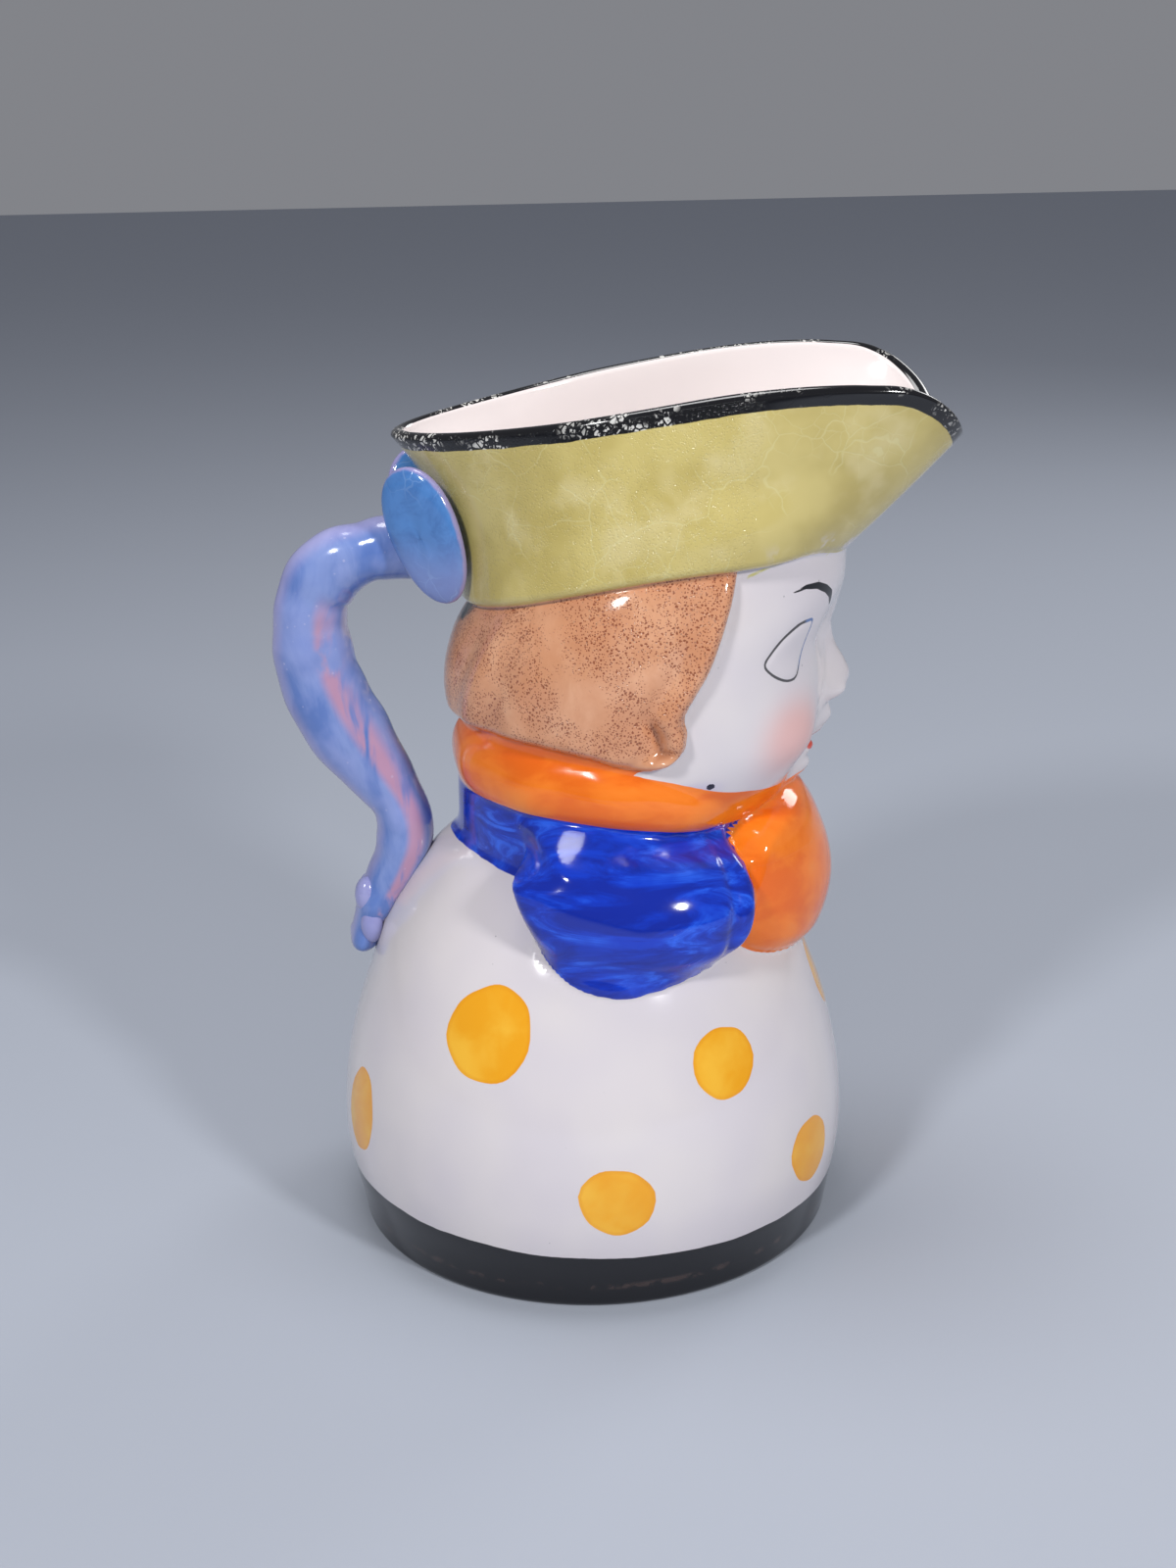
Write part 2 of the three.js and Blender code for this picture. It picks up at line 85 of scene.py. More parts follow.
def closedCurve(points, steps=6):  # smooth closed line through the points
    p = np.array(points, float)
    t = np.linspace(0, 1, steps, endpoint=False)[:, None]
    runs = []
    for i in range(len(p)):
        a, b, c, d = p[i - 1], p[i], p[(i + 1) % len(p)], p[(i + 2) % len(p)]
        runs.append(0.5 * (2 * b + (c - a) * t + (2 * a - 5 * b + 4 * c - d) * t ** 2
                           + (3 * b - a - 3 * c + d) * t ** 3))
    return np.concatenate(runs)


def signedDistance(ring, u, v):  # distance to a closed border, positive inside
    nearest = np.full(u.shape, 1e9)
    within = np.zeros(u.shape, bool)
    for a, b in zip(ring, np.roll(ring, -1, 0)):
        du, dv = b - a
        t = np.clip(((u - a[0]) * du + (v - a[1]) * dv) / (du * du + dv * dv + 1e-12), 0, 1)
        nearest = np.minimum(nearest, np.hypot(u - a[0] - t * du, v - a[1] - t * dv))
        if dv:
            within ^= ((a[1] > v) != (b[1] > v)) & (u < a[0] + (v - a[1]) * du / dv)
    return np.where(within, nearest, -nearest)


def pathDistance(points, u, v):  # distance to an open line, and the share of the way along it
    p = np.array(points, float)
    length = np.concatenate([[0], np.cumsum(np.hypot(*np.diff(p, axis=0).T))])
    best = np.full(u.shape, 1e9)
    share = np.zeros(u.shape)
    for i, (a, b) in enumerate(zip(p[:-1], p[1:])):
        du, dv = b - a
        t = np.clip(((u - a[0]) * du + (v - a[1]) * dv) / (du * du + dv * dv), 0, 1)
        d = np.hypot(u - a[0] - t * du, v - a[1] - t * dv)
        closer = d < best
        best = np.where(closer, d, best)
        share = np.where(closer, (length[i] + t * (length[i + 1] - length[i])) / length[-1], share)
    return best, share


# The cast. A list of pairs is [height, value] unless its note says otherwise.
jug = {
    "axisY": [[0, 0], [68, 0], [84, -2], [100, -7], [118, -12], [150, -14.5], [166, -18], [200, -21]],
    "bellRadius": [[0, 55.3], [3, 55.9], [8, 56.8], [14, 58.1], [20, 58.9], [27, 58.9], [36, 58.0],
                   [48, 55.4], [60, 51.4], [66, 49.0], [72, 46.0], [78, 42.4], [84, 38.2],
                   [89, 34.2], [93, 30.2], [97, 26], [110, 18]],
    "torsoFront": [[86, -38], [94, -38], [106, -36], [116, -34]],
    "torsoBack": [[86, 28.6], [94, 29.4], [106, 29.2], [116, 28]],
    "torsoHalf": [[86, 33], [94, 34], [106, 35], [116, 35]],
    "headFront": [[96, -36], [100, -42], [104, -46], [108, -48], [113, -50.2], [118, -53.0],
                  [124, -54.4], [132, -54.4], [138, -54.9], [144, -56.6], [150, -58.0],
                  [156, -58.3], [166, -58.3]],
    "headBack": [[96, 28], [104, 29], [112, 28.5], [118, 27], [124, 28.6], [132, 28.6],
                 [140, 26.3], [145, 24.0], [149, 22.2], [166, 21.5]],
    "headHalf": [[96, 30], [104, 34], [112, 36.2], [122, 37.2], [134, 37.8], [146, 36.9],
                 [152, 35.6], [158, 34.4], [166, 33.6]],
    "wall": 4.0,
    "hatWall": 3.4,
    "lipThick": 1.1,  # added at the front of the hat
    "brimThick": 3.4,  # added at the hat's lower edge
    "brimFade": 14,
    "floor": 5.5,
    "footRound": 1.3,
    "lipRound": 1.6,
    "glazeDrop": 0.32,  # all of the skin lies this far inside its drawn size, room for the wobble
    "wobble": 0.25,
    "seat": (1.6, 9, 60, 98),  # clay smeared up to the handle's foot: height, half width, from z, to z
    "perDegree": 0.75,  # millimetres of surface to a degree
    "around": 320,
    "crowding": 0.34,  # columns stand this much closer across the face
    "rowSpans": [[1.3, 66, 31], [66, 104, 54], [104, 154.6, 86]],  # from z, to z, rows
    "hatRows": 38,
    "liningRows": 26,
    "seed": 11,
    "dotSeed": 5,
}
hat = {
    "edge": (155.2, 5.1, -3.1),  # mean height, rise to the front, dip at front and back
    "temple": (36, 15, 1.5),  # degrees, reach, height
    "bottom": {"front": -58.4, "back": 27.2, "half": 38.6},
    "lip": {"front": -83.0, "back": 41.2, "side": 34.8, "middle": -21.0, "widerFront": 0.8},
    "squareness": (1.75, 2.75),  # at the back, added towards the front
    "lipLine": [[-83.2, 183.5], [-80, 188.4], [-76, 192.0], [-70, 195.0], [-60, 196.3], [-50, 196.45],
                [-38, 195.8], [-10, 192.0], [10, 188.7], [30, 185.7], [41.2, 184.3]],  # [y, z]
    "flare": (1.3, -0.25, 0.35),  # at the side, added at the front, added at the back
    "dents": [[70, 178, 26, 6, -0.9], [62, 166, 30, 5, 0.7]],  # degrees, z, reaches, depth
    "thick": 1.4,
    "round": 1.6,
}
jacket = {
    "hem": 92.8,
    "dip": (115, 25, -2.2),  # degrees, reach, height
    "thick": 1.4,
    "round": 1.6,
    "top": 122,
}
sleeve = {
    "edge": [[124, 98], [119.5, 91], [111.5, 83.6], [102.8, 76.6], [93.4, 72], [83, 70],
             [71.5, 70.8], [60.5, 72.2], [53, 73.6], [47.6, 76.6], [44.6, 82], [43, 90],
             [43, 98], [50, 104.5], [87, 110], [116, 110], [129.5, 104]],  # [degrees, z]
    "upperArm": [(25, 5, 94), (22, 20, 24)],  # centre, half sizes
    "foreArm": [(25, -10, 84), (25.6, 30, 18.6)],
    "elbow": 11,  # how softly the two run together
    "slack": 1.0,
    "thick": 2.2,  # least height above the jacket
    "round": 4,
    "cuffEdge": (49.5, 2.6, 0.9),  # degrees, reach, height
    "cuffGroove": (55, 1.8, -0.8),
    "gathers": (58.5, 3, 0.3),
}
cravat = {
    "edge": [[0, 66.2], [16, 67.6], [33, 70.8], [43.5, 75.2], [47, 83], [46.5, 92], [41, 100],
             [22, 104.5], [0, 105.5]],  # [degrees, z]
    "front": [[60, -46], [64.6, -49.6], [67, -51.2], [72, -54.0], [77, -55.7], [82, -56.3],
              [88, -55.5], [94, -53.5], [98.5, -51.4], [102, -49], [106, -45]],
    "back": 20,
    "half": (41, -0.12, 84),  # at the last number's height, change with height
    "thick": 2.6,
    "round": 4.2,
    "knot": (33, 101, 7),  # place across and up, reach of its creases
    "dimple": ((33, 100.5), (3.2, 3.2), 1.3),
    "crease": 0.35,
}
scarf = {
    "height": [[0, 101.4], [12, 101.6], [28, 103.6], [45, 104.9], [62, 106.2], [80, 108.6],
               [100, 110.8], [130, 112.2], [180, 112.4]],  # [degrees, z]
    "halfHeight": [[0, 2.9], [12, 3.1], [28, 4.2], [45, 4.3], [62, 4.9], [80, 5.8], [100, 6.4],
                   [180, 6.6]],
    "core": (-38, 27.4, 35.5),  # front, back, half width of the neck under it
    "rise": 3.2,
    "uneven": 0.25,
    "painted": 0.86,  # share of its lower half that is orange
}
hair = {
    "front": [[117, 90], [118.4, 84], [120.6, 79.6], [124.8, 77.8], [129.2, 79], [133.3, 76],
              [138.3, 71.6], [145, 67.8], [152.5, 65], [164, 64.5]],  # [z, degrees]
    "hem": [[78, 118.8], [87, 117.8], [96, 118.2], [108, 120.2], [121, 121.4], [142, 122.2],
            [180, 120.4]],  # [degrees, z]
    "thick": 2.8,
    "round": 2.6,
    "tucked": (0.25, 9),  # share of the thickness left at the hat's edge, reach below it
    "frontRoll": (3.4, 2.2, 0.9),  # from the edge, reach, height
    "groove": (8.5, 3.0, -1.1),
    "backWaves": (146, 17, 0.75),  # degrees, reach, height
    "curl": [[3.0, 119.6, 3.4, 1.5, 1.0], [1.6, 122.6, 1.2, 2.6, 0.9]],  # from the edge, z, reaches, height
    "curlGroove": 2.2,
}
face = {
    "noseHeight": [[121.8, 0], [122.8, 2.0], [124.4, 3.7], [127.2, 5.0], [130.4, 4.1], [134, 2.0],
                   [140, 0]],
    "noseHalf": [[121, 4.4], [124.4, 5.6], [127, 5.6], [131, 4.4], [140, 3.4]],
    "noseWider": 1.4,
    "humps": [  # across, z, reaches, height
        [5.4, 124.4, 2.2, 2.0, 1.9],  # nostril wings
        [8.6, 124.4, 1.3, 2.6, -0.7],  # crease round them
        [22, 117.0, 9.5, 9.5, 3.0],  # cheeks
        [12, 116.5, 7.0, 11.0, -2.0],  # hollow beside nose and mouth
        [0, 106.2, 6.0, 3.6, 3.6],  # chin
        [0, 117.4, 5.2, 3.6, 3.0],  # upper lip
        [2.3, 114.6, 2.2, 1.0, 0.7],
        [0, 118.6, 1.2, 2.2, -0.6],  # groove under the nose
        [0, 110.6, 3.4, 1.4, 1.7],  # lower lip
        [0, 112.7, 5.0, 0.7, -0.8],  # mouth line
        [0, 108.2, 4.0, 0.9, -0.5],
        [9.6, 140.0, 5.2, 7.0, -2.2],  # inner corners of the eyes
        [19, 139, 7, 6, -0.9],
    ],
    "eyeRise": 0.22,
    "eyeRound": 2.2,
    "eyeLine": (0, 0.45, -0.16),  # from the eye's border, reach, height
}

# Painted marks, [degrees, z]. Both sides have the same ones, unless the degrees are signed.
marks = {
    "eye": [[30.8, 144.9], [33.6, 145.4], [38, 145], [44, 142.9], [48.6, 140.1], [50.8, 137.8],
            [47.6, 135.4], [42.8, 133.6], [38.9, 133.1], [36, 133.8], [33.8, 136.9], [31.8, 140.8]],
    "brow": [[42.2, 152.3], [36.3, 153.0], [30.7, 152.6], [26, 151.2], [22.6, 149.6], [21.4, 147.4]],
    "browHalf": [[0, 0.1], [0.3, 0.52], [0.7, 0.86], [0.9, 0.84], [1, 0.5]],  # [share, half width]
    "strayStrokes": [[[-60, 157.2], [-54, 158.4], [-47, 159.4], [-41, 160.2]],
                     [[-27, 158.6], [-24, 160.6]]],  # signed
    "strokeHalf": 0.28,
    "dots": [[-115.8, 61.6, 11.9, 9.6], [-57, 53.7, 8.2, 7.6], [-84.8, 27.6, 8.0, 7.8],
             [-156, 33.0, 7.5, 9.8], [-33.6, 25.4, 7.6, 7.9], [-3, 57, 8.2, 8.0], [45, 40, 9, 8.4],
             [84, 59, 10, 8.8], [104, 30, 8.6, 8.4], [140, 54, 9.4, 8.8], [172, 27, 8.4, 8.2],
             [10, 24, 8.4, 8.2]],  # signed degrees, z, half width in degrees, half height
    "mole": (-40.486, 112.6, 0.95),  # across, z, size
    "blush": ((28.5, 120.5), (11, 9.5), 1),  # place across and up, reaches, strength
    "violet": ((-43.4, 111.8), (7, 2.6), 1),
}


def scaledBorder(points, bothSides=False):
    ring = [[turn * jug["perDegree"], z] for turn, z in points]
    if bothSides:
        ring += [[-u, z] for u, z in ring[::-1] if u > 0]
    return closedCurve(ring)


sleeveRing = scaledBorder(sleeve["edge"])
eyeRing = scaledBorder(marks["eye"])
cravatRing = scaledBorder(cravat["edge"], bothSides=True)


# Each of the next functions gives distances from the axis, at height z and any angles.
def egg(angle, middle, front, back, half):
    c = np.cos(angle)
    reach = np.where(c > 0, middle - front, back - middle)
    return 1 / np.hypot(np.sin(angle) / half, c / reach)


def circleRadius(angle, middle, radius):
    c = middle * np.cos(angle)
    return c + np.sqrt(np.maximum(c * c - middle * middle + radius * radius, 1e-6))


def ellipsoidRadius(angle, z, middle, centre, size):
    dx, dy = np.abs(np.sin(angle)) / size[0], -np.cos(angle) / size[1]
    ox, oy = -centre[0] / size[0], (middle - centre[1]) / size[1]
    a, b = dx * dx + dy * dy, ox * dx + oy * dy
    root = b * b - a * (ox * ox + oy * oy - 1 + ((z - centre[2]) / size[2]) ** 2)
    return np.where(root > 0, (np.sqrt(np.maximum(root, 0)) - b) / a, -50)


def axisAt(z):
    return along(jug["axisY"], z)


def hatEdge(angle):
    mean, rise, dip = hat["edge"]
    return mean + rise * np.cos(angle) + dip * np.cos(2 * angle) + swell(np.degrees(angle), *hat["temple"])


def hemHeight(angle):
    return jacket["hem"] + swell(np.degrees(angle), *jacket["dip"])


def lipRadius(angle):  # mouth of the hat: nearly square across the front, drawn in at the back
    lip = hat["lip"]
    c = np.cos(angle)
    square = hat["squareness"][0] + hat["squareness"][1] * ease(0.5 + 0.5 * c)
    reach = np.where(c > 0, lip["middle"] - lip["front"], lip["back"] - lip["middle"])
    across = np.abs(np.sin(angle)) / (lip["side"] + lip["widerFront"] * c)
    return (across ** square + (np.abs(c) / reach) ** square) ** (-1 / square)


def lipHeight(angle):
    return along(hat["lipLine"], hat["lip"]["middle"] - lipRadius(angle) * np.cos(angle))


def hatRadius(angle, z):
    low = hatEdge(angle)
    share = np.clip((z - low) / (lipHeight(angle) - low), 0, 1)
    c = np.cos(angle)
    side, front, back = hat["flare"]
    flare = np.where(c > 0, side + front * ease(c * 1.15), side + back * ease(-c))
    edge = hat["bottom"]
    bottom = egg(angle, axisAt(low), edge["front"], edge["back"], edge["half"])
    dents = sum(hump(np.degrees(angle), z, (at, level), (wide, high), depth)
                for at, level, wide, high, depth in hat["dents"])
    return bottom + (lipRadius(angle) - bottom) * share ** flare + dents * np.sqrt(share * (1 - share)) * 2


def bell(angle, z, middle):
    return circleRadius(angle, middle, along(jug["bellRadius"], z))


def torso(angle, z, middle):
    return egg(angle, middle, along(jug["torsoFront"], z), along(jug["torsoBack"], z),
               along(jug["torsoHalf"], z))


def head(angle, z, middle):
    return egg(angle, middle, along(jug["headFront"], z), along(jug["headBack"], z),
               along(jug["headHalf"], z))


def faceRelief(x, z):
    ridge = np.maximum(1 - (x / (face["noseWider"] * along(face["noseHalf"], z))) ** 2, 0) ** 1.1
    relief = along(face["noseHeight"], z) * np.where((z > 121.8) & (z < 140), ridge, 0)
    for across, level, wide, high, height in face["humps"]:
        relief = relief + hump(np.abs(x), z, (across, level), (wide, high), height)
    return relief


def wobble(angle, z, scale, seed):  # slow unevenness of a hand-finished cast
    rng = np.random.default_rng(seed)
    total = np.zeros(np.broadcast(angle, z).shape)
    for i in range(7):
        turns = rng.integers(1, 7)
        rise = rng.uniform(-1, 1) / scale
        total += np.sin(turns * angle + rise * z * 2 * np.pi + rng.uniform(0, 6.28))
    return total / 7


# The garments are laid over the body one by one. Each gives the new surface, and all but the scarf give
# their border's field.
def jacketOver(body, angle, z, middle):
    aboveHem = z - hemHeight(angle)
    thick = jacket["thick"]
    cloth = torso(angle, z, middle) - thick + thick * roundOver(aboveHem / jacket["round"])
    return np.where((aboveHem > -0.1) & (z < jacket["top"]), softMax(body, cloth, 1.2), body), aboveHem


def sleeveOver(body, angle, z, middle, underScarf):
    turn = np.degrees(angle)
    into = signedDistance(sleeveRing, turn * jug["perDegree"], z)
    upperArm = ellipsoidRadius(angle, z, middle, *sleeve["upperArm"])
    foreArm = ellipsoidRadius(angle, z, middle, *sleeve["foreArm"])
    arm = softMax(softMax(upperArm, foreArm, sleeve["elbow"]) - sleeve["slack"], body + sleeve["thick"], 4)
    cuff = (swell(turn, *sleeve["cuffEdge"]) + swell(turn - 0.05 * (z - 84), *sleeve["cuffGroove"])
            + swell(turn, *sleeve["gathers"]) * np.sin((z - 76) * 0.7))
    arm = arm + cuff * ease((103 - z) / 8)
    shoulder = ease((z - 93) / 7) * ease((turn - 80) / 14)  # no step where the sleeve leaves the back
    puff = (1 - shoulder) * roundOver(into / sleeve["round"]) + shoulder * ease((into + 2) / 18)
    puff = puff * roundOver(underScarf / 9)
    return np.where(arm > body, body + (arm - body) * puff, body), np.minimum(into, underScarf)


def cravatOver(body, angle, z, middle):
    wide = np.degrees(angle) * jug["perDegree"]
    half, change, level = cravat["half"]
    cloth = egg(angle, middle, along(cravat["front"], z), cravat["back"], half + change * (z - level))
    cloth = softMax(cloth, body + cravat["thick"], 2)
    knotAcross, knotHeight, reach = cravat["knot"]
    crease = hump(wide, z, (knotAcross, knotHeight), (reach, reach), 1)
    rays = np.sin(5 * np.arctan2(z - knotHeight, wide - knotAcross))
    cloth = cloth - hump(wide, z, *cravat["dimple"]) + cravat["crease"] * crease * rays
    into = signedDistance(cravatRing, wide, z)
    edge = roundOver(into / cravat["round"])
    return np.where(cloth > body, body + (cloth - body) * edge, body), into, crease


def scarfOver(body, angle, z, middle, scarfMiddle, scarfHalf, crease):
    lift = 1 - ((z - scarfMiddle) / scarfHalf) ** 2
    uneven = scarf["uneven"] * np.sin(np.degrees(angle) * 0.21)
    roll = egg(angle, middle, *scarf["core"]) + (scarf["rise"] + uneven) * np.sqrt(np.maximum(lift, 0))
    return np.where(lift > -0.02, softMax(body, roll - 0.8 * crease, 0.9), body)


def hairOver(body, skull, angle, z):
    turn = np.degrees(angle)
    fromEdge = (turn - along(hair["front"], z)) * jug["perDegree"]
    into = np.minimum(fromEdge, z - along(hair["hem"], turn))
    fade = ease((152 - z) / 18)
    slant = turn + 0.55 * (z - 135)
    curlGroove = (hump(fromEdge, z, (6.4 + 0.35 * (z - 124), 125.0), (1.3, 4.6), 1)
                  + 0.8 * hump(fromEdge, z, (3.8, 121.8), (2.0, 0.9), 1))
    waves = (swell(fromEdge, *hair["frontRoll"]) + swell(fromEdge, *hair["groove"]) * fade
             + swell(turn, *hair["backWaves"]) * fade * np.sin(slant * 0.30 + 1.2)
             + 0.15 * np.sin(slant * 0.19) - hair["curlGroove"] * curlGroove)
    for across, level, wide, high, height in hair["curl"]:
        waves = waves + hump(fromEdge, z, (across, level), (wide, high), height)
    left, reach = hair["tucked"]
    tucked = left + (1 - left) * roundOver((hatEdge(angle) - z) / reach)  # drawn in under the hat
    thick = hair["thick"] * roundOver(into / hair["round"]) * tucked
    locks = skull + thick + waves * roundOver(into / 6) * tucked
    shows = (into > -1) & (z < hatEdge(angle) + 2)
    return np.where(shows, softMax(body, locks, 0.7), body), into, fromEdge, curlGroove


def skin(signedAngle, z):  # outer surface, and the signed distances to its painted borders
    angle = np.abs(signedAngle)
    turn = np.degrees(angle)
    middle = axisAt(z)
    radius, aboveHem = jacketOver(bell(angle, z, middle), angle, z, middle)

    scarfMiddle, scarfHalf = along(scarf["height"], turn), along(scarf["halfHeight"], turn)
    underScarf = scarfMiddle - scarf["painted"] * scarfHalf - z
    radius, inSleeve = sleeveOver(radius, angle, z, middle, underScarf)
    radius, inCravat, crease = cravatOver(radius, angle, z, middle)
    radius = scarfOver(radius, angle, z, middle, scarfMiddle, scarfHalf, crease)

    skull = head(angle, z, middle)
    features = skull + np.where(np.cos(angle) > 0, faceRelief(skull * np.sin(angle), z), 0)
    radius = np.where(z > 97, softMax(radius, features, 1), radius)
    radius, inHair, fromEdge, curlGroove = hairOver(radius, skull, angle, z)

    aboveBrim = z - hatEdge(angle)
    felt = hatRadius(angle, z) - hat["thick"] + hat["thick"] * roundOver(aboveBrim / hat["round"])
    radius = np.where(aboveBrim > -0.5, softMax(radius, felt, 0.7), radius)

    height, half, low, high = jug["seat"]
    seat = swell((turn - 180) * jug["perDegree"], 0, half, height) * ease((z - low) / 12)
    radius = radius + np.where(z < 100, seat * ease((high - z) / 8), 0)
    inEye = signedDistance(eyeRing, turn * jug["perDegree"], z)
    radius = radius + face["eyeRise"] * roundOver(inEye / face["eyeRound"]) + swell(inEye, *face["eyeLine"])
    uneven = wobble(signedAngle, z, 60, jug["seed"]) * ease((lipHeight(angle) - z) / 10) * ease(z / 8)
    radius = radius - jug["glazeDrop"] + jug["wobble"] * uneven

    above = z - scarfMiddle
    return radius, {
        "hat": aboveBrim, "hair": inHair, "groove": curlGroove, "above": above, "side": signedAngle,
        "nape": np.minimum(above, fromEdge - 2.0), "cravat": inCravat, "sleeve": inSleeve,
        "scarf": np.minimum(scarfHalf - above, -underScarf), "jacket": aboveHem,
        "rim": lipHeight(angle) - z,
    }


def lining(signedAngle, z):
    angle = np.abs(signedAngle)
    middle = axisAt(z)
    radius = bell(angle, z, middle) - jug["wall"]
    radius = np.where(z > 84, softMax(radius, torso(angle, z, middle) - jug["wall"] - 0.6, 3), radius)
    radius = np.where(z > 97, softMax(radius, head(angle, z, middle) - jug["wall"], 3), radius)
    aboveBrim = z - hatEdge(angle)
    thick = jug["hatWall"] + jug["lipThick"] * np.maximum(np.cos(angle), 0) ** 2
    thick = thick + jug["brimThick"] * (1 - ease(aboveBrim / jug["brimFade"]))
    return np.where(aboveBrim > 0, softMax(radius, hatRadius(angle, z) - thick, 2), radius)


def paintFields(signedAngle, z, radius):  # signed distances of the painted marks, positive in the paint
    turn = np.degrees(signedAngle)
    u = np.abs(turn) * jug["perDegree"]
    brow, share = pathDistance([[t * jug["perDegree"], h] for t, h in marks["brow"]], u, z)
    stroke = np.full(turn.shape, 9.0)
    for line in marks["strayStrokes"]:
        line = [[t * jug["perDegree"], h] for t, h in line]
        stroke = np.minimum(stroke, pathDistance(line, turn * jug["perDegree"], z)[0])
    dotField = np.full(turn.shape, -99.0)
    rng = np.random.default_rng(jug["dotSeed"])
    for middle, height, halfDegrees, halfHeight in marks["dots"]:
        du = ((turn - middle + 180) % 360 - 180) / halfDegrees
        dv = (z - height) / halfHeight
        spin = np.arctan2(dv, du)
        lobes = rng.uniform(0, 6, 3)
        ragged = (1 + 0.03 * np.sin(2 * spin + lobes[0]) + 0.025 * np.sin(3 * spin + lobes[1])
                  + 0.012 * np.sin(7 * spin + lobes[2]))
        dotField = np.maximum(dotField, (ragged - np.hypot(du, dv)) * halfHeight)
    x = radius * np.sin(np.abs(signedAngle))
    upperLip = 1.5 - np.hypot(np.maximum(x - 0.6, 0) / 3.9, (z - 113.9) / 1.1)
    lowerLip = 1.4 - np.hypot(x / 3.6, (z - 111.0) / 1.2)
    corner = 1.4 - np.hypot((x - 5.4) / 1.7, (z - 112.3 - 0.15 * (x - 5.4)) / 0.95)
    moleAt, moleHeight, moleSize = marks["mole"]
    low = turn * 0.62  # millimetres across, low on the face
    return {
        "eye": signedDistance(eyeRing, u, z),
        "eyeFront": 34.5 - np.abs(turn),
        "brow": along(marks["browHalf"], share) - brow,
        "stroke": marks["strokeHalf"] - stroke,
        "dots": dotField,
        "lips": np.maximum(np.maximum(upperLip, lowerLip), corner) - 0.4,
        "blush": hump(u, z, *marks["blush"]),
        "mole": moleSize - np.hypot(low - moleAt + 0.3 * (z - moleHeight), (z - moleHeight) * 1.25),
        "violet": hump(low, z, *marks["violet"]),
    }


fieldNames = ["groove", "hat", "hair", "nape", "above", "side", "scarf", "cravat", "sleeve", "jacket",
              "rim", "eye", "eyeFront", "brow", "stroke", "dots", "lips", "blush", "mole", "violet"]


# Rows from the underside up the outside, over the lip and down to the floor. Each row is
# (distance from the axis, height, painted fields, 1 on the lining).
def castRows():
    u = np.linspace(-np.pi, np.pi, jug["around"], endpoint=False)
    angle = u - jug["crowding"] * np.sin(u)
    near = np.abs(angle)
    rows = []

    def skinRow(z):
        radius, fields = skin(angle, z)
        fields.update(paintFields(angle, z, radius))
        rows.append((radius, z, fields, 0.0))

    def plainRow(radius, z, inside, rim):
        fields = {name: -20.0 for name in fieldNames}
        fields.update(blush=0.0, violet=0.0, side=angle, rim=rim)
        rows.append((radius + 0 * angle, z + 0 * angle, fields, inside))

    foot, footRound = jug["bellRadius"][0][1], jug["footRound"]
    for share in (0.02, 0.3, 0.6, 0.85):
        plainRow(foot * share, 0, 0.0, 90)
    for turn in np.linspace(0, np.pi / 2, 5)[:-1]:
        plainRow(foot - footRound * (1 - math.sin(turn)), footRound * (1 - math.cos(turn)), 0.0, 90)

    spans = jug["rowSpans"]
    levels = [np.linspace(*span)[:-1] for span in spans[:-1]] + [np.linspace(*spans[-1])]
    for level in np.concatenate(levels):  # rows bend with the hat's edge as they near it
        skinRow(level + (hatEdge(near) - hat["edge"][0]) * ease((level - 112) / 43))
    lipRound = jug["lipRound"]
    shoulder = lipHeight(near) - lipRound
    low = hatEdge(near) + 0.1
    for share in np.linspace(0, 1, jug["hatRows"]):
        skinRow(low + (shoulder - low) * share)

    outside = skin(angle, shoulder)[0]
    half = (outside - lining(angle, shoulder)) / 2
    for turn in np.linspace(0, np.pi, 11)[1:]:
        rim = lipRound * (1 - math.sin(turn)) if turn < 1.6 else 2.2 * (turn - 1.3)
        plainRow(outside - half * (1 - math.cos(turn)), shoulder + lipRound * math.sin(turn),
                 1.0 if turn > 2.2 else 0.0, rim)
    for share in np.linspace(0, 1, jug["liningRows"])[1:]:
        z = shoulder + (jug["floor"] + 5 - shoulder) * share ** 1.2
        plainRow(lining(angle, z), z, 1.0, lipHeight(near) - z + 1.5)
    low = lining(angle, jug["floor"] + 3)
    for inset, rise in ((1.0, 3.0), (2.4, 1.6), (4.5, 0.5), (7, 0), (20, 0), (40, 0)):
        plainRow(low - inset, jug["floor"] + rise, 1.0, 150)
    return angle, rows


def addObject(name, mesh):
    piece = bpy.data.objects.new(name, mesh)
    bpy.context.collection.objects.link(piece)
    return piece


def storeFloats(mesh, name, values):
    mesh.attributes.new(name, "FLOAT", "POINT").data.foreach_set("value", np.asarray(values, np.float32))


def ringFaces(rings, count):  # four-sided faces between rings of points
    column = np.arange(count)
    after = (column + 1) % count
    steps = [i * count for i in range(rings - 1)]
    quads = [np.stack([column, after, after + count, column + count], -1) + step for step in steps]
    return np.concatenate(quads).tolist()


def faceOut(mesh, merge=0.0):
    shape = bmesh.new()
    shape.from_mesh(mesh)
    if merge:
        bmesh.ops.remove_doubles(shape, verts=shape.verts, dist=merge)
    bmesh.ops.recalc_face_normals(shape, faces=shape.faces)
    shape.to_mesh(mesh)
    shape.free()
    mesh.shade_smooth()


def castMesh():
    angle, rows = castRows()
    count = len(angle)
    radius = np.array([row[0] for row in rows])
    z = np.array([row[1] for row in rows])
    points = np.stack([radius * np.sin(angle), axisAt(z) - radius * np.cos(angle), z], -1)
    faces = ringFaces(len(rows), count)
    faces.append(list(range(count))[::-1])
    last = (len(rows) - 1) * count
    faces.append(list(range(last, last + count)))
    mesh = bpy.data.meshes.new("jug")
    mesh.from_pydata((points.reshape(-1, 3) * mm).tolist(), [], faces)
    for name in fieldNames:
        storeFloats(mesh, name, np.array([row[2][name] * np.ones(count) for row in rows]).ravel())
    storeFloats(mesh, "inside", np.repeat([row[3] for row in rows], count))
    mesh.validate()
    mesh.shade_smooth()
    return addObject("jug_body", mesh)


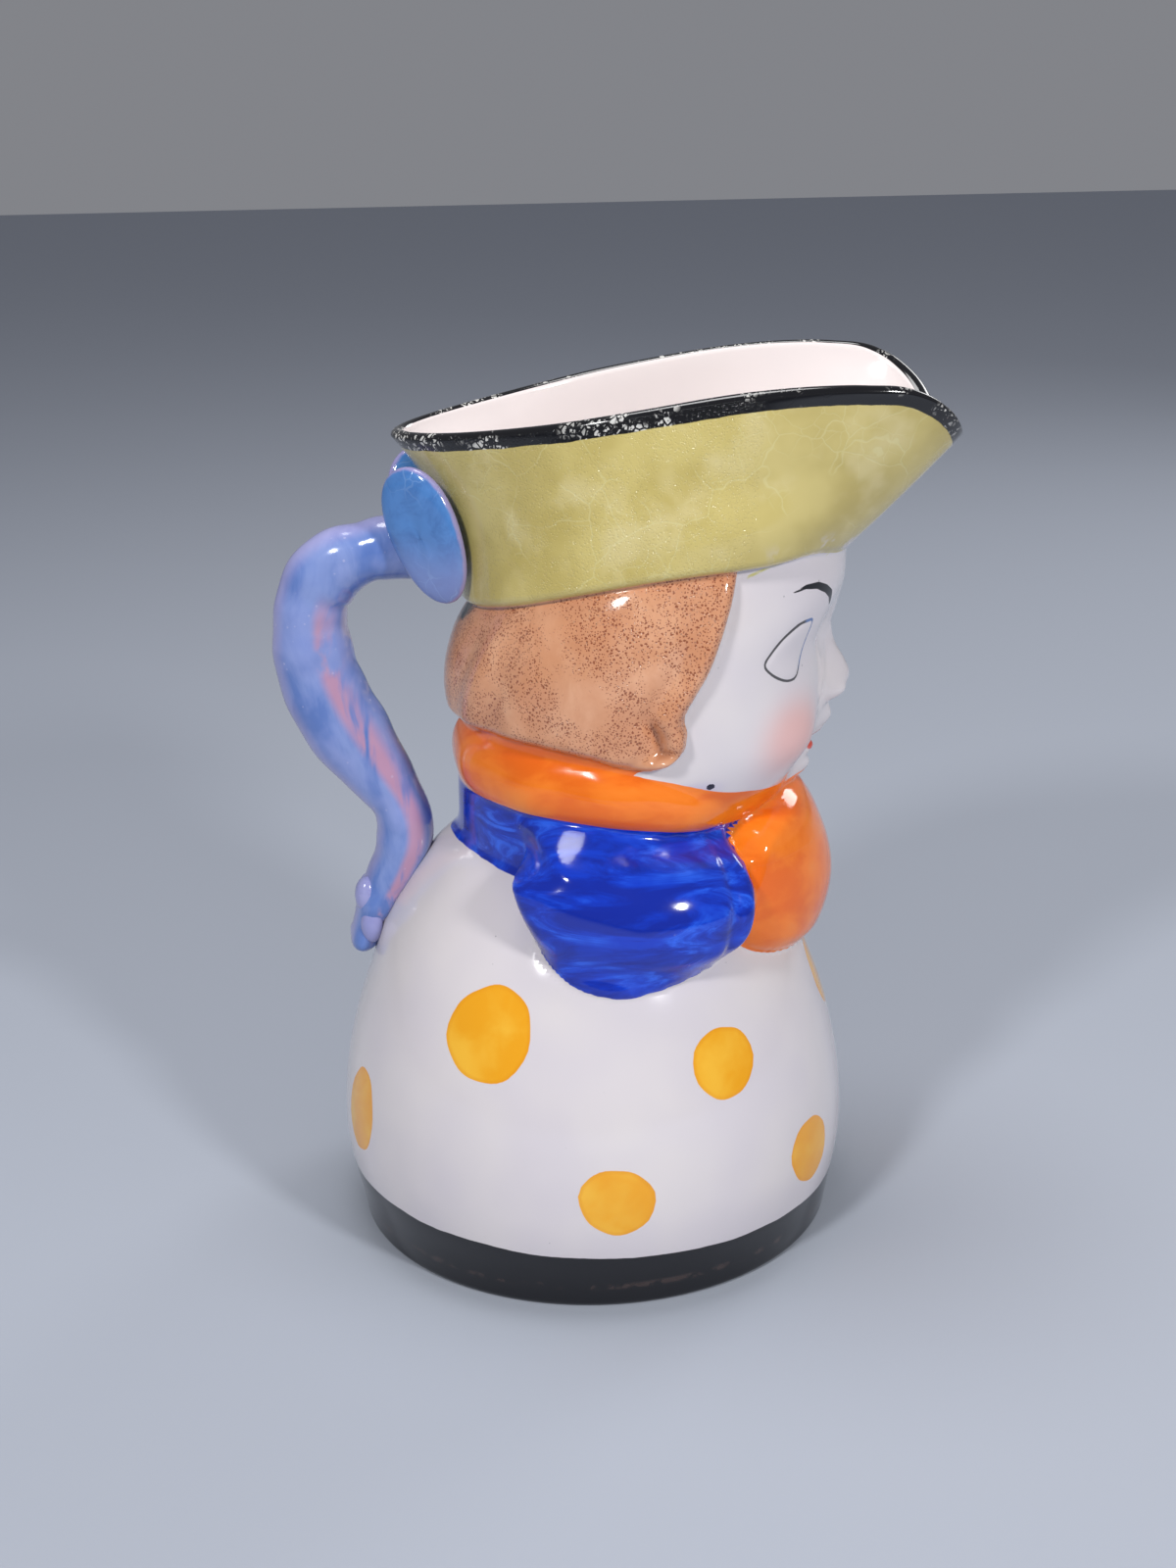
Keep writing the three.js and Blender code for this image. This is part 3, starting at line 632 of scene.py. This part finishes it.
# The handle: a strap along its centre line, pressed in along the inner edge, ending in a tassel.
handle = {
    "stations": [[28, 157.5, 7.6, 6.6], [41.4, 158, 7.4, 6.6], [47.6, 157, 7.4, 6.8],
                 [53.8, 154.6, 8.2, 7.0], [58.2, 150, 8.5, 7.2], [60.1, 144.6, 8.6, 7.4],
                 [60.4, 138, 8.9, 7.4], [59.4, 130, 9.7, 7.4], [56.4, 121.8, 10.0, 7.3],
                 [51.6, 113.2, 9.3, 7.0], [45.8, 104.2, 7.7, 6.5], [42.4, 97.6, 6.6, 6.2],
                 [41.8, 91.6, 6.9, 6.4], [43.6, 85.6, 6.3, 6.6], [46.6, 79.6, 5.6, 6.0],
                 [49.4, 74.2, 5.0, 6.6], [51.2, 69.4, 4.2, 5.4], [52.2, 65.4, 3.8, 5.8],
                 [52.0, 62.4, 2.4, 4.0]],  # y, z, half depth, half width
    "inset": (0.4, 0.1),  # taken off the half depth and the half width
    "rings": 170,
    "sides": 40,
    "groove": 0.13,  # share of the half depth taken out along the inner edge
    "grooveAt": 0.42,  # on the section, 0 at the strap's side and 1 at its inner edge
    "grooveReach": 0.3,
    "lobes": [[-2.8, 51.0, 77.2, 3.0, 2.9, 4.6], [2.8, 50.8, 76.2, 3.0, 2.9, 4.4],
              [0.4, 52.3, 66.8, 3.8, 3.5, 4.6], [-4.2, 50.2, 70.4, 2.5, 2.6, 4.4],
              [4.2, 50.0, 69.6, 2.5, 2.6, 4.2]],  # x, y, z and half sizes of the tassel's lobes
}


def linear(code):  # hex sRGB colour to linear light
    parts = [int(code[i:i + 2], 16) / 255 for i in (1, 3, 5)]
    return [c / 12.92 if c <= 0.04045 else ((c + 0.055) / 1.055) ** 2.4 for c in parts] + [1]


# Adds a node with its settings, values and links. Gives its output `out`, or the node for None.
def addNode(tree, kind, inputs=(), out=0, **settings):
    node = tree.nodes.new(kind)
    for key, value in settings.items():
        setattr(node, key, value)
    for key, value in inputs.items() if isinstance(inputs, dict) else enumerate(inputs):
        socket = node.inputs[key]
        if isinstance(value, bpy.types.NodeSocket):
            tree.links.new(value, socket)
        elif socket.type == "RGBA":
            socket.default_value = linear(paint[value])
        else:
            socket.default_value = value
    return node if out is None else node.outputs[out]


def sweepTree():
    tree = bpy.data.node_groups.new("handle_sweep", "GeometryNodeTree")
    tree.interface.new_socket("Geometry", in_out="INPUT", socket_type="NodeSocketGeometry")
    for name, kind in (("Sides", "Int"), ("Groove", "Float"), ("Glaze", "Material")):
        tree.interface.new_socket(name, in_out="INPUT", socket_type="NodeSocket" + kind)
    tree.interface.new_socket("Geometry", in_out="OUTPUT", socket_type="NodeSocketGeometry")
    add = partial(addNode, tree)
    given = add("NodeGroupInput", out=None).outputs

    # the centre line keeps its own place and outward direction while the section is swept along it
    line = add("GeometryNodeMeshToCurve", [given["Geometry"]])
    tangent = add("GeometryNodeInputTangent")
    outward = add("ShaderNodeVectorMath", [(1, 0, 0), tangent], operation="CROSS_PRODUCT")
    kept = (("centre", add("GeometryNodeInputPosition")), ("outward", outward))
    for name, value in kept:
        line = add("GeometryNodeStoreNamedAttribute", {"Geometry": line, "Name": name, "Value": value},
                   data_type="FLOAT_VECTOR")
    ring = add("GeometryNodeCurvePrimitiveCircle", {"Resolution": given["Sides"], "Radius": mm})
    turn = add("ShaderNodeMath", [add("GeometryNodeSplineParameter", out="Factor"), 2 * math.pi],
               operation="MULTIPLY")
    ring = add("GeometryNodeStoreNamedAttribute", {"Geometry": ring, "Name": "turn", "Value": turn})
    strap = add("GeometryNodeCurveToMesh", {"Curve": line, "Profile Curve": ring, "Fill Caps": True})

    # where each point of the section lies: outward by the depth, sideways by the width
    centre, outward = [add("GeometryNodeInputNamedAttribute", {"Name": name}, data_type="FLOAT_VECTOR")
                       for name in ("centre", "outward")]
    sums = {name: add("GeometryNodeInputNamedAttribute", {"Name": name})
            for name in ("turn", "deep", "wide", "fold")}
    sums["groove"] = given["Groove"]
    for name, operation, *values in (
            ("cosine", "COSINE", "turn"),
            ("sine", "SINE", "turn"),
            ("inward", "MULTIPLY", "cosine", -1),
            ("valley", "SUBTRACT", "inward", handle["grooveAt"]),
            ("valley", "DIVIDE", "valley", handle["grooveReach"]),
            ("valley", "POWER", "valley", 2),
            ("valley", "MULTIPLY", "valley", -1),
            ("valley", "POWER", 2.718, "valley"),
            ("valley", "MULTIPLY", "valley", "fold"),
            ("valley", "MULTIPLY", "valley", "groove"),
            ("pinch", "SUBTRACT", 1, "valley"),
            ("deep", "MULTIPLY", "deep", "cosine"),
            ("deep", "MULTIPLY", "deep", "pinch"),
            ("wide", "MULTIPLY", "wide", "sine"),
            ("wide", "MULTIPLY", "wide", "pinch")):
        values = [sums.get(value, value) for value in values]
        sums[name] = add("ShaderNodeMath", values, operation=operation)
    place = add("ShaderNodeVectorMath", {0: outward, "Scale": sums["deep"]}, operation="SCALE")
    for part in (centre, add("ShaderNodeCombineXYZ", {"X": sums["wide"]})):
        place = add("ShaderNodeVectorMath", [part, place], operation="ADD")
    strap = add("GeometryNodeStoreNamedAttribute",
                {"Geometry": strap, "Name": "inward", "Value": sums["inward"]})
    strap = add("GeometryNodeSetPosition", {"Geometry": strap, "Position": place})
    strap = add("GeometryNodeRealizeInstances", [strap])
    strap = add("GeometryNodeSetMaterial", {"Geometry": strap, "Material": given["Glaze"]})
    add("NodeGroupOutput", [strap], out=None)
    return tree


def plainMesh(carrier, name):  # the carrier's modifiers turned into an ordinary mesh, faces out
    evaluated = carrier.evaluated_get(bpy.context.evaluated_depsgraph_get())
    mesh = bpy.data.meshes.new_from_object(evaluated)
    bpy.data.objects.remove(carrier)
    faceOut(mesh)
    mesh.name = name
    return addObject(name, mesh)


def handlePiece(glaze):
    stations = np.array(handle["stations"])
    keys = np.arange(len(stations))
    at = np.linspace(0, len(stations) - 1, handle["rings"])
    y, z, deep, wide = [along(np.stack([keys, stations[:, i]], -1), at) for i in range(4)]
    tip = roundOver((len(stations) - 1 - at) / 0.9) * 0.97 + 0.03
    uneven = 1 + 0.02 * np.sin(at * 2.3) + 0.015 * np.sin(at * 5.1 + 1)
    fold = ease((at - 4) / 2) * ease((11.5 - at) / 3) + 0.5 * ease((at - 11) / 2)
    lessDeep, lessWide = handle["inset"]
    mesh = bpy.data.meshes.new("handle_line")
    edges = [(i, i + 1) for i in range(len(y) - 1)]
    mesh.from_pydata((np.stack([0 * y, y, z], -1) * mm).tolist(), edges, [])
    storeFloats(mesh, "deep", (deep - lessDeep) * tip * uneven * mm)
    storeFloats(mesh, "wide", (wide - lessWide) * tip * uneven * mm)
    storeFloats(mesh, "fold", fold)
    storeFloats(mesh, "share", at / at[-1])

    carrier = addObject("handle_line", mesh)
    tree = sweepTree()
    modifier = carrier.modifiers.new("sweep", "NODES")
    modifier.node_group = tree
    given = {item.name: item.identifier for item in tree.interface.items_tree if item.in_out == "INPUT"}
    modifier[given["Sides"]] = handle["sides"]
    modifier[given["Groove"]] = handle["groove"]
    modifier[given["Glaze"]] = glaze
    piece = plainMesh(carrier, "jug_handle")

    shape = bmesh.new()
    shape.from_mesh(piece.data)
    inward = shape.verts.layers.float.get("inward")
    for x, y, z, a, b, c in handle["lobes"]:
        turned = Matrix.Translation(Vector((x, y, z)) * mm) @ Matrix.Diagonal((a * mm, b * mm, c * mm, 1))
        ball = bmesh.ops.create_uvsphere(shape, u_segments=20, v_segments=14, radius=1, matrix=turned)
        for vertex in ball["verts"]:
            vertex[inward] = -1
    for part in shape.faces:
        part.smooth = True
    shape.to_mesh(piece.data)
    shape.free()
    return piece


# Side plates: flat oval shields that hide the handle's root, leaning with the hat.
plate = {
    "size": (9.3, 15.4, 2.7),  # half width, half height, half thickness
    "place": (12.2, 33.1, 163.1),
    "across": (0.49, 0.87),
    "lean": 0.24,
    "tilt": -17,  # degrees in its own plane
    "turns": 56,
    "rows": 26,
    "squareness": (0.62, 0.9),
    "fuller": (0.10, -0.05),  # towards the top, towards the middle
    "ripple": 0.12,
}


def platePiece(side, glaze, name):
    turns, rows = plate["turns"], plate["rows"]
    across = Vector((-side * plate["across"][0], plate["across"][1], 0)).normalized()
    out = across.cross(Vector((0, plate["lean"], 1))).normalized() * side
    up = out.cross(across) * side
    c, s = math.cos(math.radians(plate["tilt"])), math.sin(math.radians(plate["tilt"]))
    across, up = across * c + up * s, up * c - across * s
    halfWidth, halfHeight, halfThick = plate["size"]
    roundness, bulge = plate["squareness"]
    top, middle = plate["fuller"]
    points, edge = [], []
    for i in range(rows + 1):
        fall = math.pi * i / rows
        r = abs(math.sin(fall)) ** roundness
        h = math.copysign(abs(math.cos(fall)) ** bulge, math.cos(fall))
        for j in range(turns):
            t = 2 * math.pi * j / turns
            broad = 1 + top * math.sin(t) + middle * math.cos(2 * t)
            ripple = plate["ripple"] * math.sin(3 * t + 2 * r) * (1 - r)
            points.append([halfWidth * r * broad * math.cos(t), halfHeight * r * math.sin(t),
                           halfThick * h * (1 - 0.25 * (1 - r) * h) + ripple])
            edge.append((1 - r) * halfWidth)
    world = np.array(points) @ np.array([across, up, out])
    world += np.array([side * plate["place"][0], plate["place"][1], plate["place"][2]])
    mesh = bpy.data.meshes.new(name)
    mesh.from_pydata((world * mm).tolist(), [], ringFaces(rows + 1, turns))
    storeFloats(mesh, "edge", edge)
    faceOut(mesh, 1e-7)
    mesh.materials.append(glaze)
    return addObject(name, mesh)


paint = {
    "white": "#DAD3D8", "whiteWarm": "#E2DBDB", "lining": "#F2E8E6", "speck": "#77727A",
    "base": "#08070E", "baseWorn": "#4A3A36", "black": "#0C0C10", "chip": "#CFCDC8",
    "hat": "#D0BF78", "hatPale": "#DACB92", "hatDeep": "#C0AE66", "hatCraze": "#E9E7B4",
    "hair": "#E0A47E", "hairPale": "#EDB792", "hairDeep": "#D6966E", "hairRust": "#A85A36",
    "hairGroovePoolAndShade": "#9C5C3A", "pore": "#7E3416", "spill": "#1A0E12",
    "scarf": "#FF8420", "scarfDeep": "#F06C0A", "scarfLight": "#FF9C40",
    "blue": "#0238C4", "blueDeep": "#00249C", "blueLight": "#2A6AF2", "blueThin": "#6A76CC",
    "dot": "#F4A814", "dotLight": "#FABD36", "dotRim": "#E8920A",
    "lips": "#DA4A34", "blush": "#EC9482", "violet": "#8E86C8", "stroke": "#C9C25A",
    "eyeBlue": "#4A6EA8", "mole": "#141030",
    "handle": "#8498D0", "handleDeep": "#5E7CC0", "handleSky": "#96A4DC", "lustre": "#C694AC",
    "lilac": "#BFB0D8", "handleWornSheen": "#C9C2CE", "handleSpeck": "#C6C4E2",
    "plate": "#5186C8", "plateDeep": "#4373B4", "plateEdge": "#A598C8", "plateMist": "#8C94C8",
    "plateCraze": "#A8C4EC", "paper": "#ACB2BE",
}


# A material under way: what its layers repeat. Sizes are millimetres, pattern space is metres.
class Glaze:
    def __init__(self, name):
        self.material = bpy.data.materials.new(name)
        self.material.use_nodes = True
        self.tree = self.material.node_tree
        self.tree.nodes.clear()
        self.place = self.add("TexCoord", out="Object")

    def add(self, kind, inputs=(), out=0, **settings):
        return addNode(self.tree, "ShaderNode" + kind, inputs, out, **settings)

    # cloudy unevenness of a size, drawn out along a brush's way by a turn and a stretch
    def cloud(self, size, detail=3, rough=0.55, swirl=0.0, turned=None, stretch=None):
        place = self.place
        if turned:
            place = self.add("Mapping", {"Vector": place, "Rotation": turned, "Scale": stretch})
        return self.add("TexNoise", {"Vector": place, "Scale": 1000 / size, "Detail": detail,
                                     "Roughness": rough, "Distortion": swirl}, "Fac")

    def field(self, source):  # a socket as it is, or what the mesh keeps under a name
        if isinstance(source, str):
            source = self.add("Attribute", out="Fac", attribute_name=source)
        return source

    def mask(self, source, low, high):  # goes from 0 at low to 1 at high
        given = {"Value": self.field(source), "From Min": low, "From Max": high}
        return self.add("MapRange", given, "Result", interpolation_type="SMOOTHSTEP")

    def away(self, source, value):  # how far a field is from a value, either way
        gap = self.add("Math", [self.field(source), value], operation="SUBTRACT")
        return self.add("Math", [gap], operation="ABSOLUTE")

    def spots(self, size, low, high, feature="F1", place=None):
        cells = self.add("TexVoronoi", {"Vector": place or self.place, "Scale": 1000 / size}, "Distance",
                         feature=feature)
        return self.mask(cells, low, high)

    def allOf(self, first, *masks):
        for other in masks:
            first = self.add("Math", [first, other], operation="MULTIPLY")
        return first

    # one colour laid over another where all the masks agree
    def over(self, below, above, *masks):
        return self.add("Mix", {0: self.allOf(*masks), 6: below, 7: above}, 2, data_type="RGBA")

    # fine craze lines, broken up where the glaze is sound
    def crackle(self, size, width, seen):
        bend = self.add("TexNoise", {"Vector": self.place, "Scale": 160.0, "Detail": 2.0}, "Color")
        bent = self.add("VectorMath", [bend, (0.004, 0.004, 0.004), self.place], operation="MULTIPLY_ADD")
        line = self.spots(size, width, width * 0.35, "DISTANCE_TO_EDGE", bent)
        return self.allOf(line, self.mask(self.cloud(26.3, 2), seen, seen + 0.08))

    def finish(self, colour, rough, height, strength=0.5, coat=0.35):
        normal = self.add("Bump", {"Height": height, "Distance": 0.0006, "Strength": strength}, "Normal")
        shader = self.add("BsdfPrincipled", {"Base Color": colour, "Roughness": rough, "IOR": 1.52,
                                             "Normal": normal, "Coat Weight": coat, "Coat Roughness": 0.05})
        self.add("OutputMaterial", {"Surface": shader}, None)
        return self.material


# Hand-painted earthenware under a clear glaze. The eye gets wet gloss over flat colours, with
# brush marks and strayed edges, crazing on the hat, open pores in the hair and a flaked black rim.
def castGlaze():
    g = Glaze("painted_glazed_earthenware")
    depth, level = [g.add("SeparateXYZ", [g.place], axis) for axis in "YZ"]
    shake = g.add("Math", [g.cloud(2.38), 0.5, -0.25], operation="MULTIPLY_ADD")
    drift = g.add("Math", [g.cloud(10.53, 2), 1.5, -0.75], operation="MULTIPLY_ADD")
    hand = g.add("Math", [shake, drift], operation="ADD")  # how far a brush strays from a cast edge

    def strayed(edge, stray):
        return g.add("Math", [hand, stray, edge], operation="MULTIPLY_ADD")

    def inset(source, width):  # field of what lies less than a width inside a border
        return g.add("Math", [width, source], operation="SUBTRACT")

    def painted(name, shift=0.0, stray=0.4, soft=0.1):  # mask of a painted area
        edge = g.add("Math", [g.field(name), shift], operation="ADD")
        return g.mask(strayed(edge, stray), -soft, soft)

    def either(a, b):
        return g.add("Math", [a, b], operation="MAXIMUM")

    # white slip, specked
    colour = g.over("white", "whiteWarm", g.mask(g.cloud(35.7, 2), 0.35, 0.7))
    colour = g.over(colour, "speck", g.spots(3.85, 0.07, 0.03), g.mask(g.cloud(7.69, 1), 0.6, 0.64),
                    0.55)

    # polka dots, thicker colour at the rim of each
    dotTone = g.over("dot", "dotLight", g.mask(g.cloud(10.53, 3, 0.5, 0.3), 0.38, 0.7))
    dotTone = g.over(dotTone, "dotRim", g.mask("dots", 1.1, 0.1), 0.45)
    colour = g.over(colour, dotTone, painted("dots", stray=0.22))

    # face
    colour = g.over(colour, "blush", g.mask("blush", 0.08, 1.0), 0.5)
    colour = g.over(colour, "violet", g.mask("violet", 0.15, 1.0), 0.30)
    colour = g.over(colour, "lips", painted("lips", stray=0.1, soft=0.12))
    outline = strayed(inset(g.away("eye", 0.0), 0.31), 0.12)
    ink = g.over("black", "eyeBlue", g.mask("eyeFront", -1.0, 1.0))
    colour = g.over(colour, ink, g.mask(outline, -0.07, 0.09), 0.9)
    colour = g.over(colour, "black", painted("brow", stray=0.12, soft=0.08))
    colour = g.over(colour, "mole", painted("mole", stray=0.15, soft=0.08))
    colour = g.over(colour, "stroke", painted("stroke", stray=0.35, soft=0.2), 0.8)

    # cobalt jacket and sleeves, streaked by a broad brush
    streak = g.cloud(7.69, 5, 0.6, 1.4, (0.35, 0.5, 0.2), (1.0, 0.22, 1.5))
    pool = g.cloud(16.67, 3, 0.5)
    blue = g.over("blueDeep", "blue", g.mask(streak, 0.36, 0.58))
    blue = g.over(blue, "blueLight", g.mask(streak, 0.5, 0.68), g.mask(pool, 0.36, 0.58))
    blue = g.over(blue, "blueThin", g.mask(g.cloud(4.35, 4, 0.7), 0.62, 0.68),
                  g.mask(pool, 0.52, 0.6), 0.55)
    jacketMask = g.allOf(painted("jacket", stray=0.5), g.mask("above", 0.5, 0.0))
    jacketMask = either(jacketMask, painted("sleeve", shift=0.1, stray=0.5))
    colour = g.over(colour, blue, jacketMask)

    # orange scarf and cravat, darker where the colour pooled
    warm = g.cloud(9.09, 4, 0.5, 0.4, (0.2, 0.1, 0.6), (1.0, 0.4, 1.0))
    orange = g.over("scarfDeep", "scarf", g.mask(warm, 0.34, 0.6))
    orange = g.over(orange, "scarfLight", g.mask(warm, 0.54, 0.8), 0.5)
    nape = g.allOf(g.mask("nape", -0.2, 0.2), g.mask(level, 0.1265, 0.1255))
    scarfMask = either(painted("scarf", shift=0.1), painted("cravat", shift=0.25))
    colour = g.over(colour, orange, either(scarfMask, nape))

    # sponged hair, full of open pores of 0.2 to 0.4 mm, denser near the hat
    comb = g.cloud(11.11, 5, 0.62, 0.5, (0.6, 0.0, 0.0), (1.0, 1.0, 0.6))
    locks = g.over("hairDeep", "hair", g.mask(comb, 0.36, 0.64))
    locks = g.over(locks, "hairPale", g.mask(comb, 0.54, 0.74), 0.6)
    crowd = g.add("Math", [g.mask(level, 0.128, 0.152), 0.07, g.cloud(11.76, 3, 0.6)],
                  operation="MULTIPLY_ADD")
    pores = either(g.allOf(g.spots(0.87, 0.36, 0.2), g.mask(crowd, 0.47, 0.56)),
                   g.allOf(g.spots(0.526, 0.36, 0.2), g.mask(crowd, 0.40, 0.5)))
    locks = g.over(locks, "hairRust", g.mask(crowd, 0.46, 0.66), 0.16)
    # painted shade in the curl's groove, together with darker glaze pooled there
    locks = g.over(locks, "hairGroovePoolAndShade", g.mask("groove", 0.15, 0.9), 0.55)
    locks = g.over(locks, "pore", pores, 0.8)
    hairMask = painted("hair", shift=0.15, stray=0.3)
    colour = g.over(colour, locks, hairMask)
    spill = strayed(inset(g.away("hat", -2.0), 2.1), 0.5)
    colour = g.over(colour, "spill", g.mask(spill, -0.1, 0.3), g.mask("side", -2.93, -2.99))

    # chartreuse hat, crazed, rubbed bare over the forehead
    felt = g.over("hatDeep", "hat", g.mask(g.cloud(20.83), 0.36, 0.62))
    felt = g.over(felt, "hatPale", g.mask(g.cloud(13.33), 0.48, 0.7), 0.7)
    craze = either(g.crackle(13.33, 0.014, 0.44), g.allOf(g.crackle(5.88, 0.022, 0.5), 0.7))
    felt = g.over(felt, "hatCraze", craze, 0.2)
    hatMask = painted("hat", shift=0.05, stray=0.5)
    bare = g.allOf(g.mask(g.cloud(7.14), 0.5, 0.62), g.mask("hat", 6.0, 1.0), g.mask(depth, -0.034, -0.044),
                   0.8)
    colour = g.over(colour, felt, hatMask, inset(bare, 1))

    # lining
    lined = g.mask("inside", 0.4, 0.6)
    colour = g.over(colour, "lining", lined)

    # black rim, flaked to the white body along its edge
    rim = strayed(inset(g.field("rim"), 3.9), 0.55)
    rimMask = g.allOf(g.mask(rim, -0.1, 0.1), inset(lined, 1))
    flaked = g.allOf(g.spots(1.389, 0.10, 0.16, "DISTANCE_TO_EDGE"),
                     g.mask(g.cloud(1.923, 3, 0.7), 0.47, 0.53), g.mask(g.cloud(16.13, 2), 0.505, 0.575))
    colour = g.over(colour, g.over("black", "chip", flaked), rimMask)

    # black foot band, higher at the back, with a rubbed brown line
    bandTop = g.add("Math", [depth, 0.034, 0.0137], operation="MULTIPLY_ADD")
    waver = g.add("Math", [g.cloud(18.18), 0.5], operation="SUBTRACT")
    bandTop = g.add("Math", [waver, 0.0016, bandTop], operation="MULTIPLY_ADD")
    under = inset(level, bandTop)
    band = g.over("base", "baseWorn", g.mask(g.away(level, 0.0055), 0.0012, 0.0002),
                  g.mask(g.cloud(4.76, 4, 0.7), 0.48, 0.6), 0.6)
    colour = g.over(colour, band, g.mask(under, -0.00008, 0.00008))

    # gloss and the glaze's own relief: slow waves, brush ridges, and pores, cracks and chips sunk in
    height = g.allOf(g.cloud(16.13, 3, 0.5), 0.42)
    height = g.add("Math", [streak, g.allOf(jacketMask, 0.12), height], operation="MULTIPLY_ADD")
    for sunk in ((pores, hairMask, 0.22), (craze, hatMask, 0.05), (flaked, rimMask, 0.2)):
        height = g.add("Math", [height, g.allOf(*sunk)], operation="SUBTRACT")
    rough = g.add("Math", [g.cloud(25), 0.12, 0.05], operation="MULTIPLY_ADD")
    rough = g.add("Math", [g.allOf(flaked, rimMask), 0.4, rough], operation="MULTIPLY_ADD")
    return g.finish(colour, rough, height)


# Thin blue wash over white, brushed lengthwise, with mother-of-pearl lustre on the inner edge.
def handleGlaze():
    g = Glaze("brushed_lustre_glaze")
    inner = g.field("inward")
    wash = g.cloud(9.09, 4, 0.6, 0.6, (0.9, 0.0, 0.0), (1.0, 1.0, 0.4))
    colour = g.over("handleDeep", "handle", g.mask(wash, 0.34, 0.66))
    colour = g.over(colour, "handleSky", g.mask(g.cloud(16.67), 0.46, 0.66), 0.6)
    colour = g.over(colour, "lilac", g.mask(inner, -0.55, -0.95), 0.45)
    colour = g.over(colour, "lustre", g.mask(g.away(inner, 0.45), 0.42, 0.1), g.mask(wash, 0.4, 0.56),
                    g.mask("share", 0.2, 0.32), 0.85)
    # paler strip along the inner edge: worn glaze, and a painted highlight along that ridge
    colour = g.over(colour, "handleWornSheen", g.mask(inner, 0.82, 0.97),
                    g.mask(g.cloud(10.53), 0.45, 0.55), 0.6)
    colour = g.over(colour, "handleSpeck", g.spots(2.38, 0.16, 0.08),
                    g.mask(g.cloud(8.33, 2), 0.5, 0.6), 0.4)
    rough = g.add("Math", [g.cloud(14.29, 2), 0.12, 0.07], operation="MULTIPLY_ADD")
    return g.finish(colour, rough, g.allOf(g.cloud(11.76, 3, 0.5), 0.5), 0.55)


# Opaque blue enamel, even and very glossy, crazed, with a lilac edge where it thins.
def plateGlaze():
    g = Glaze("bright_blue_glaze")
    level = g.add("SeparateXYZ", [g.place], "Z")
    colour = g.over("plateDeep", "plate", g.mask(g.cloud(8.33, 4, 0.6, 0.5), 0.36, 0.62))
    colour = g.over(colour, "plateMist", g.mask(level, 0.166, 0.152), 0.65)
    edge = g.add("Math", [g.cloud(3.33), 0.6, g.field("edge")], operation="MULTIPLY_ADD")
    colour = g.over(colour, "plateEdge", g.mask(edge, 0.75, 0.35), 0.85)
    craze = g.crackle(5.26, 0.035, 0.42)
    colour = g.over(colour, "plateCraze", craze, 0.16)
    waves = g.allOf(g.cloud(9.09, 3, 0.5), 0.6)
    height = g.add("Math", [waves, g.allOf(craze, 0.06)], operation="SUBTRACT")
    return g.finish(colour, 0.12, height, 0.6)


cast = castMesh()
cast.data.materials.append(castGlaze())
print("cast", len(cast.data.polygons))
loop = handlePiece(handleGlaze())
print("handle", len(loop.data.polygons))
blueEnamel = plateGlaze()
plates = [platePiece(1, blueEnamel, "jug_plate_right"), platePiece(-1, blueEnamel, "jug_plate_left")]
print("side plates", sum(len(piece.data.polygons) for piece in plates))
for piece in [cast, loop] + plates:
    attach(piece, "root")
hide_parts("jug")
print("jug dressed")

# Floor, camera and light.
studio = {
    "cameraPlace": (-0.46705, -0.00029, 0.26608),
    "pitch": 19.35,  # degrees below level, looking along +X
    "roll": -1.25,
    "lens": 49.95,
    "floorSize": 3.0,
    "worldLight": 0.25,
    "worldColour": (0.9, 0.92, 1.0, 1),
    "aim": (0, 0, 0.1),
    "lights": {  # place, size, watts
        "key": ((-0.75, 0.46, 0.78), 0.16, 5.4),
        "second": ((-0.72, -0.58, 0.60), 0.14, 4.9),
        "top": ((0.10, 0.05, 1.10), 0.45, 3.8),
        "rim": ((0.70, -0.60, 0.60), 0.35, 1.6),
    },
}


def layFloor():
    size = studio["floorSize"]
    mesh = bpy.data.meshes.new("floor")
    corners = [(-size, -size, 0), (size, -size, 0), (size, size, 0), (-size, size, 0)]
    mesh.from_pydata(corners, [], [(0, 1, 2, 3)])
    floor = addObject("floor", mesh)
    paper = Glaze("pale_studio_paper")  # matt, so it takes only a soft shadow
    mesh.materials.append(paper.finish("paper", 0.85, 0.0, 0.0, 0.0))


def placeCamera():
    camera = addObject("camera", bpy.data.cameras.new("camera"))
    camera.matrix_world = Matrix.Translation(studio["cameraPlace"])
    for degrees, axis in ((-90, "Z"), (90 - studio["pitch"], "X"), (studio["roll"], "Z")):
        camera.matrix_world @= Matrix.Rotation(math.radians(degrees), 4, axis)
    camera.data.lens = studio["lens"]
    camera.data.sensor_width = 36
    camera.data.clip_start = 0.01
    bpy.context.scene.camera = camera


def hangLights():
    for name, (place, size, watts) in studio["lights"].items():
        lamp = bpy.data.lights.new(name, "AREA")
        lamp.shape = "DISK"
        lamp.size = size
        lamp.energy = watts
        hung = addObject(name, lamp)
        hung.location = place
        hung.rotation_euler = (Vector(place) - Vector(studio["aim"])).to_track_quat("Z", "Y").to_euler()
    bpy.context.scene.view_settings.view_transform = "Standard"  # keeps the bright glaze colours
    world = bpy.data.worlds.new("studio")
    bpy.context.scene.world = world
    world.use_nodes = True
    sky = world.node_tree.nodes["Background"].inputs
    sky["Color"].default_value = studio["worldColour"]
    sky["Strength"].default_value = studio["worldLight"]


layFloor()
placeCamera()
hangLights()
print("studio ready")
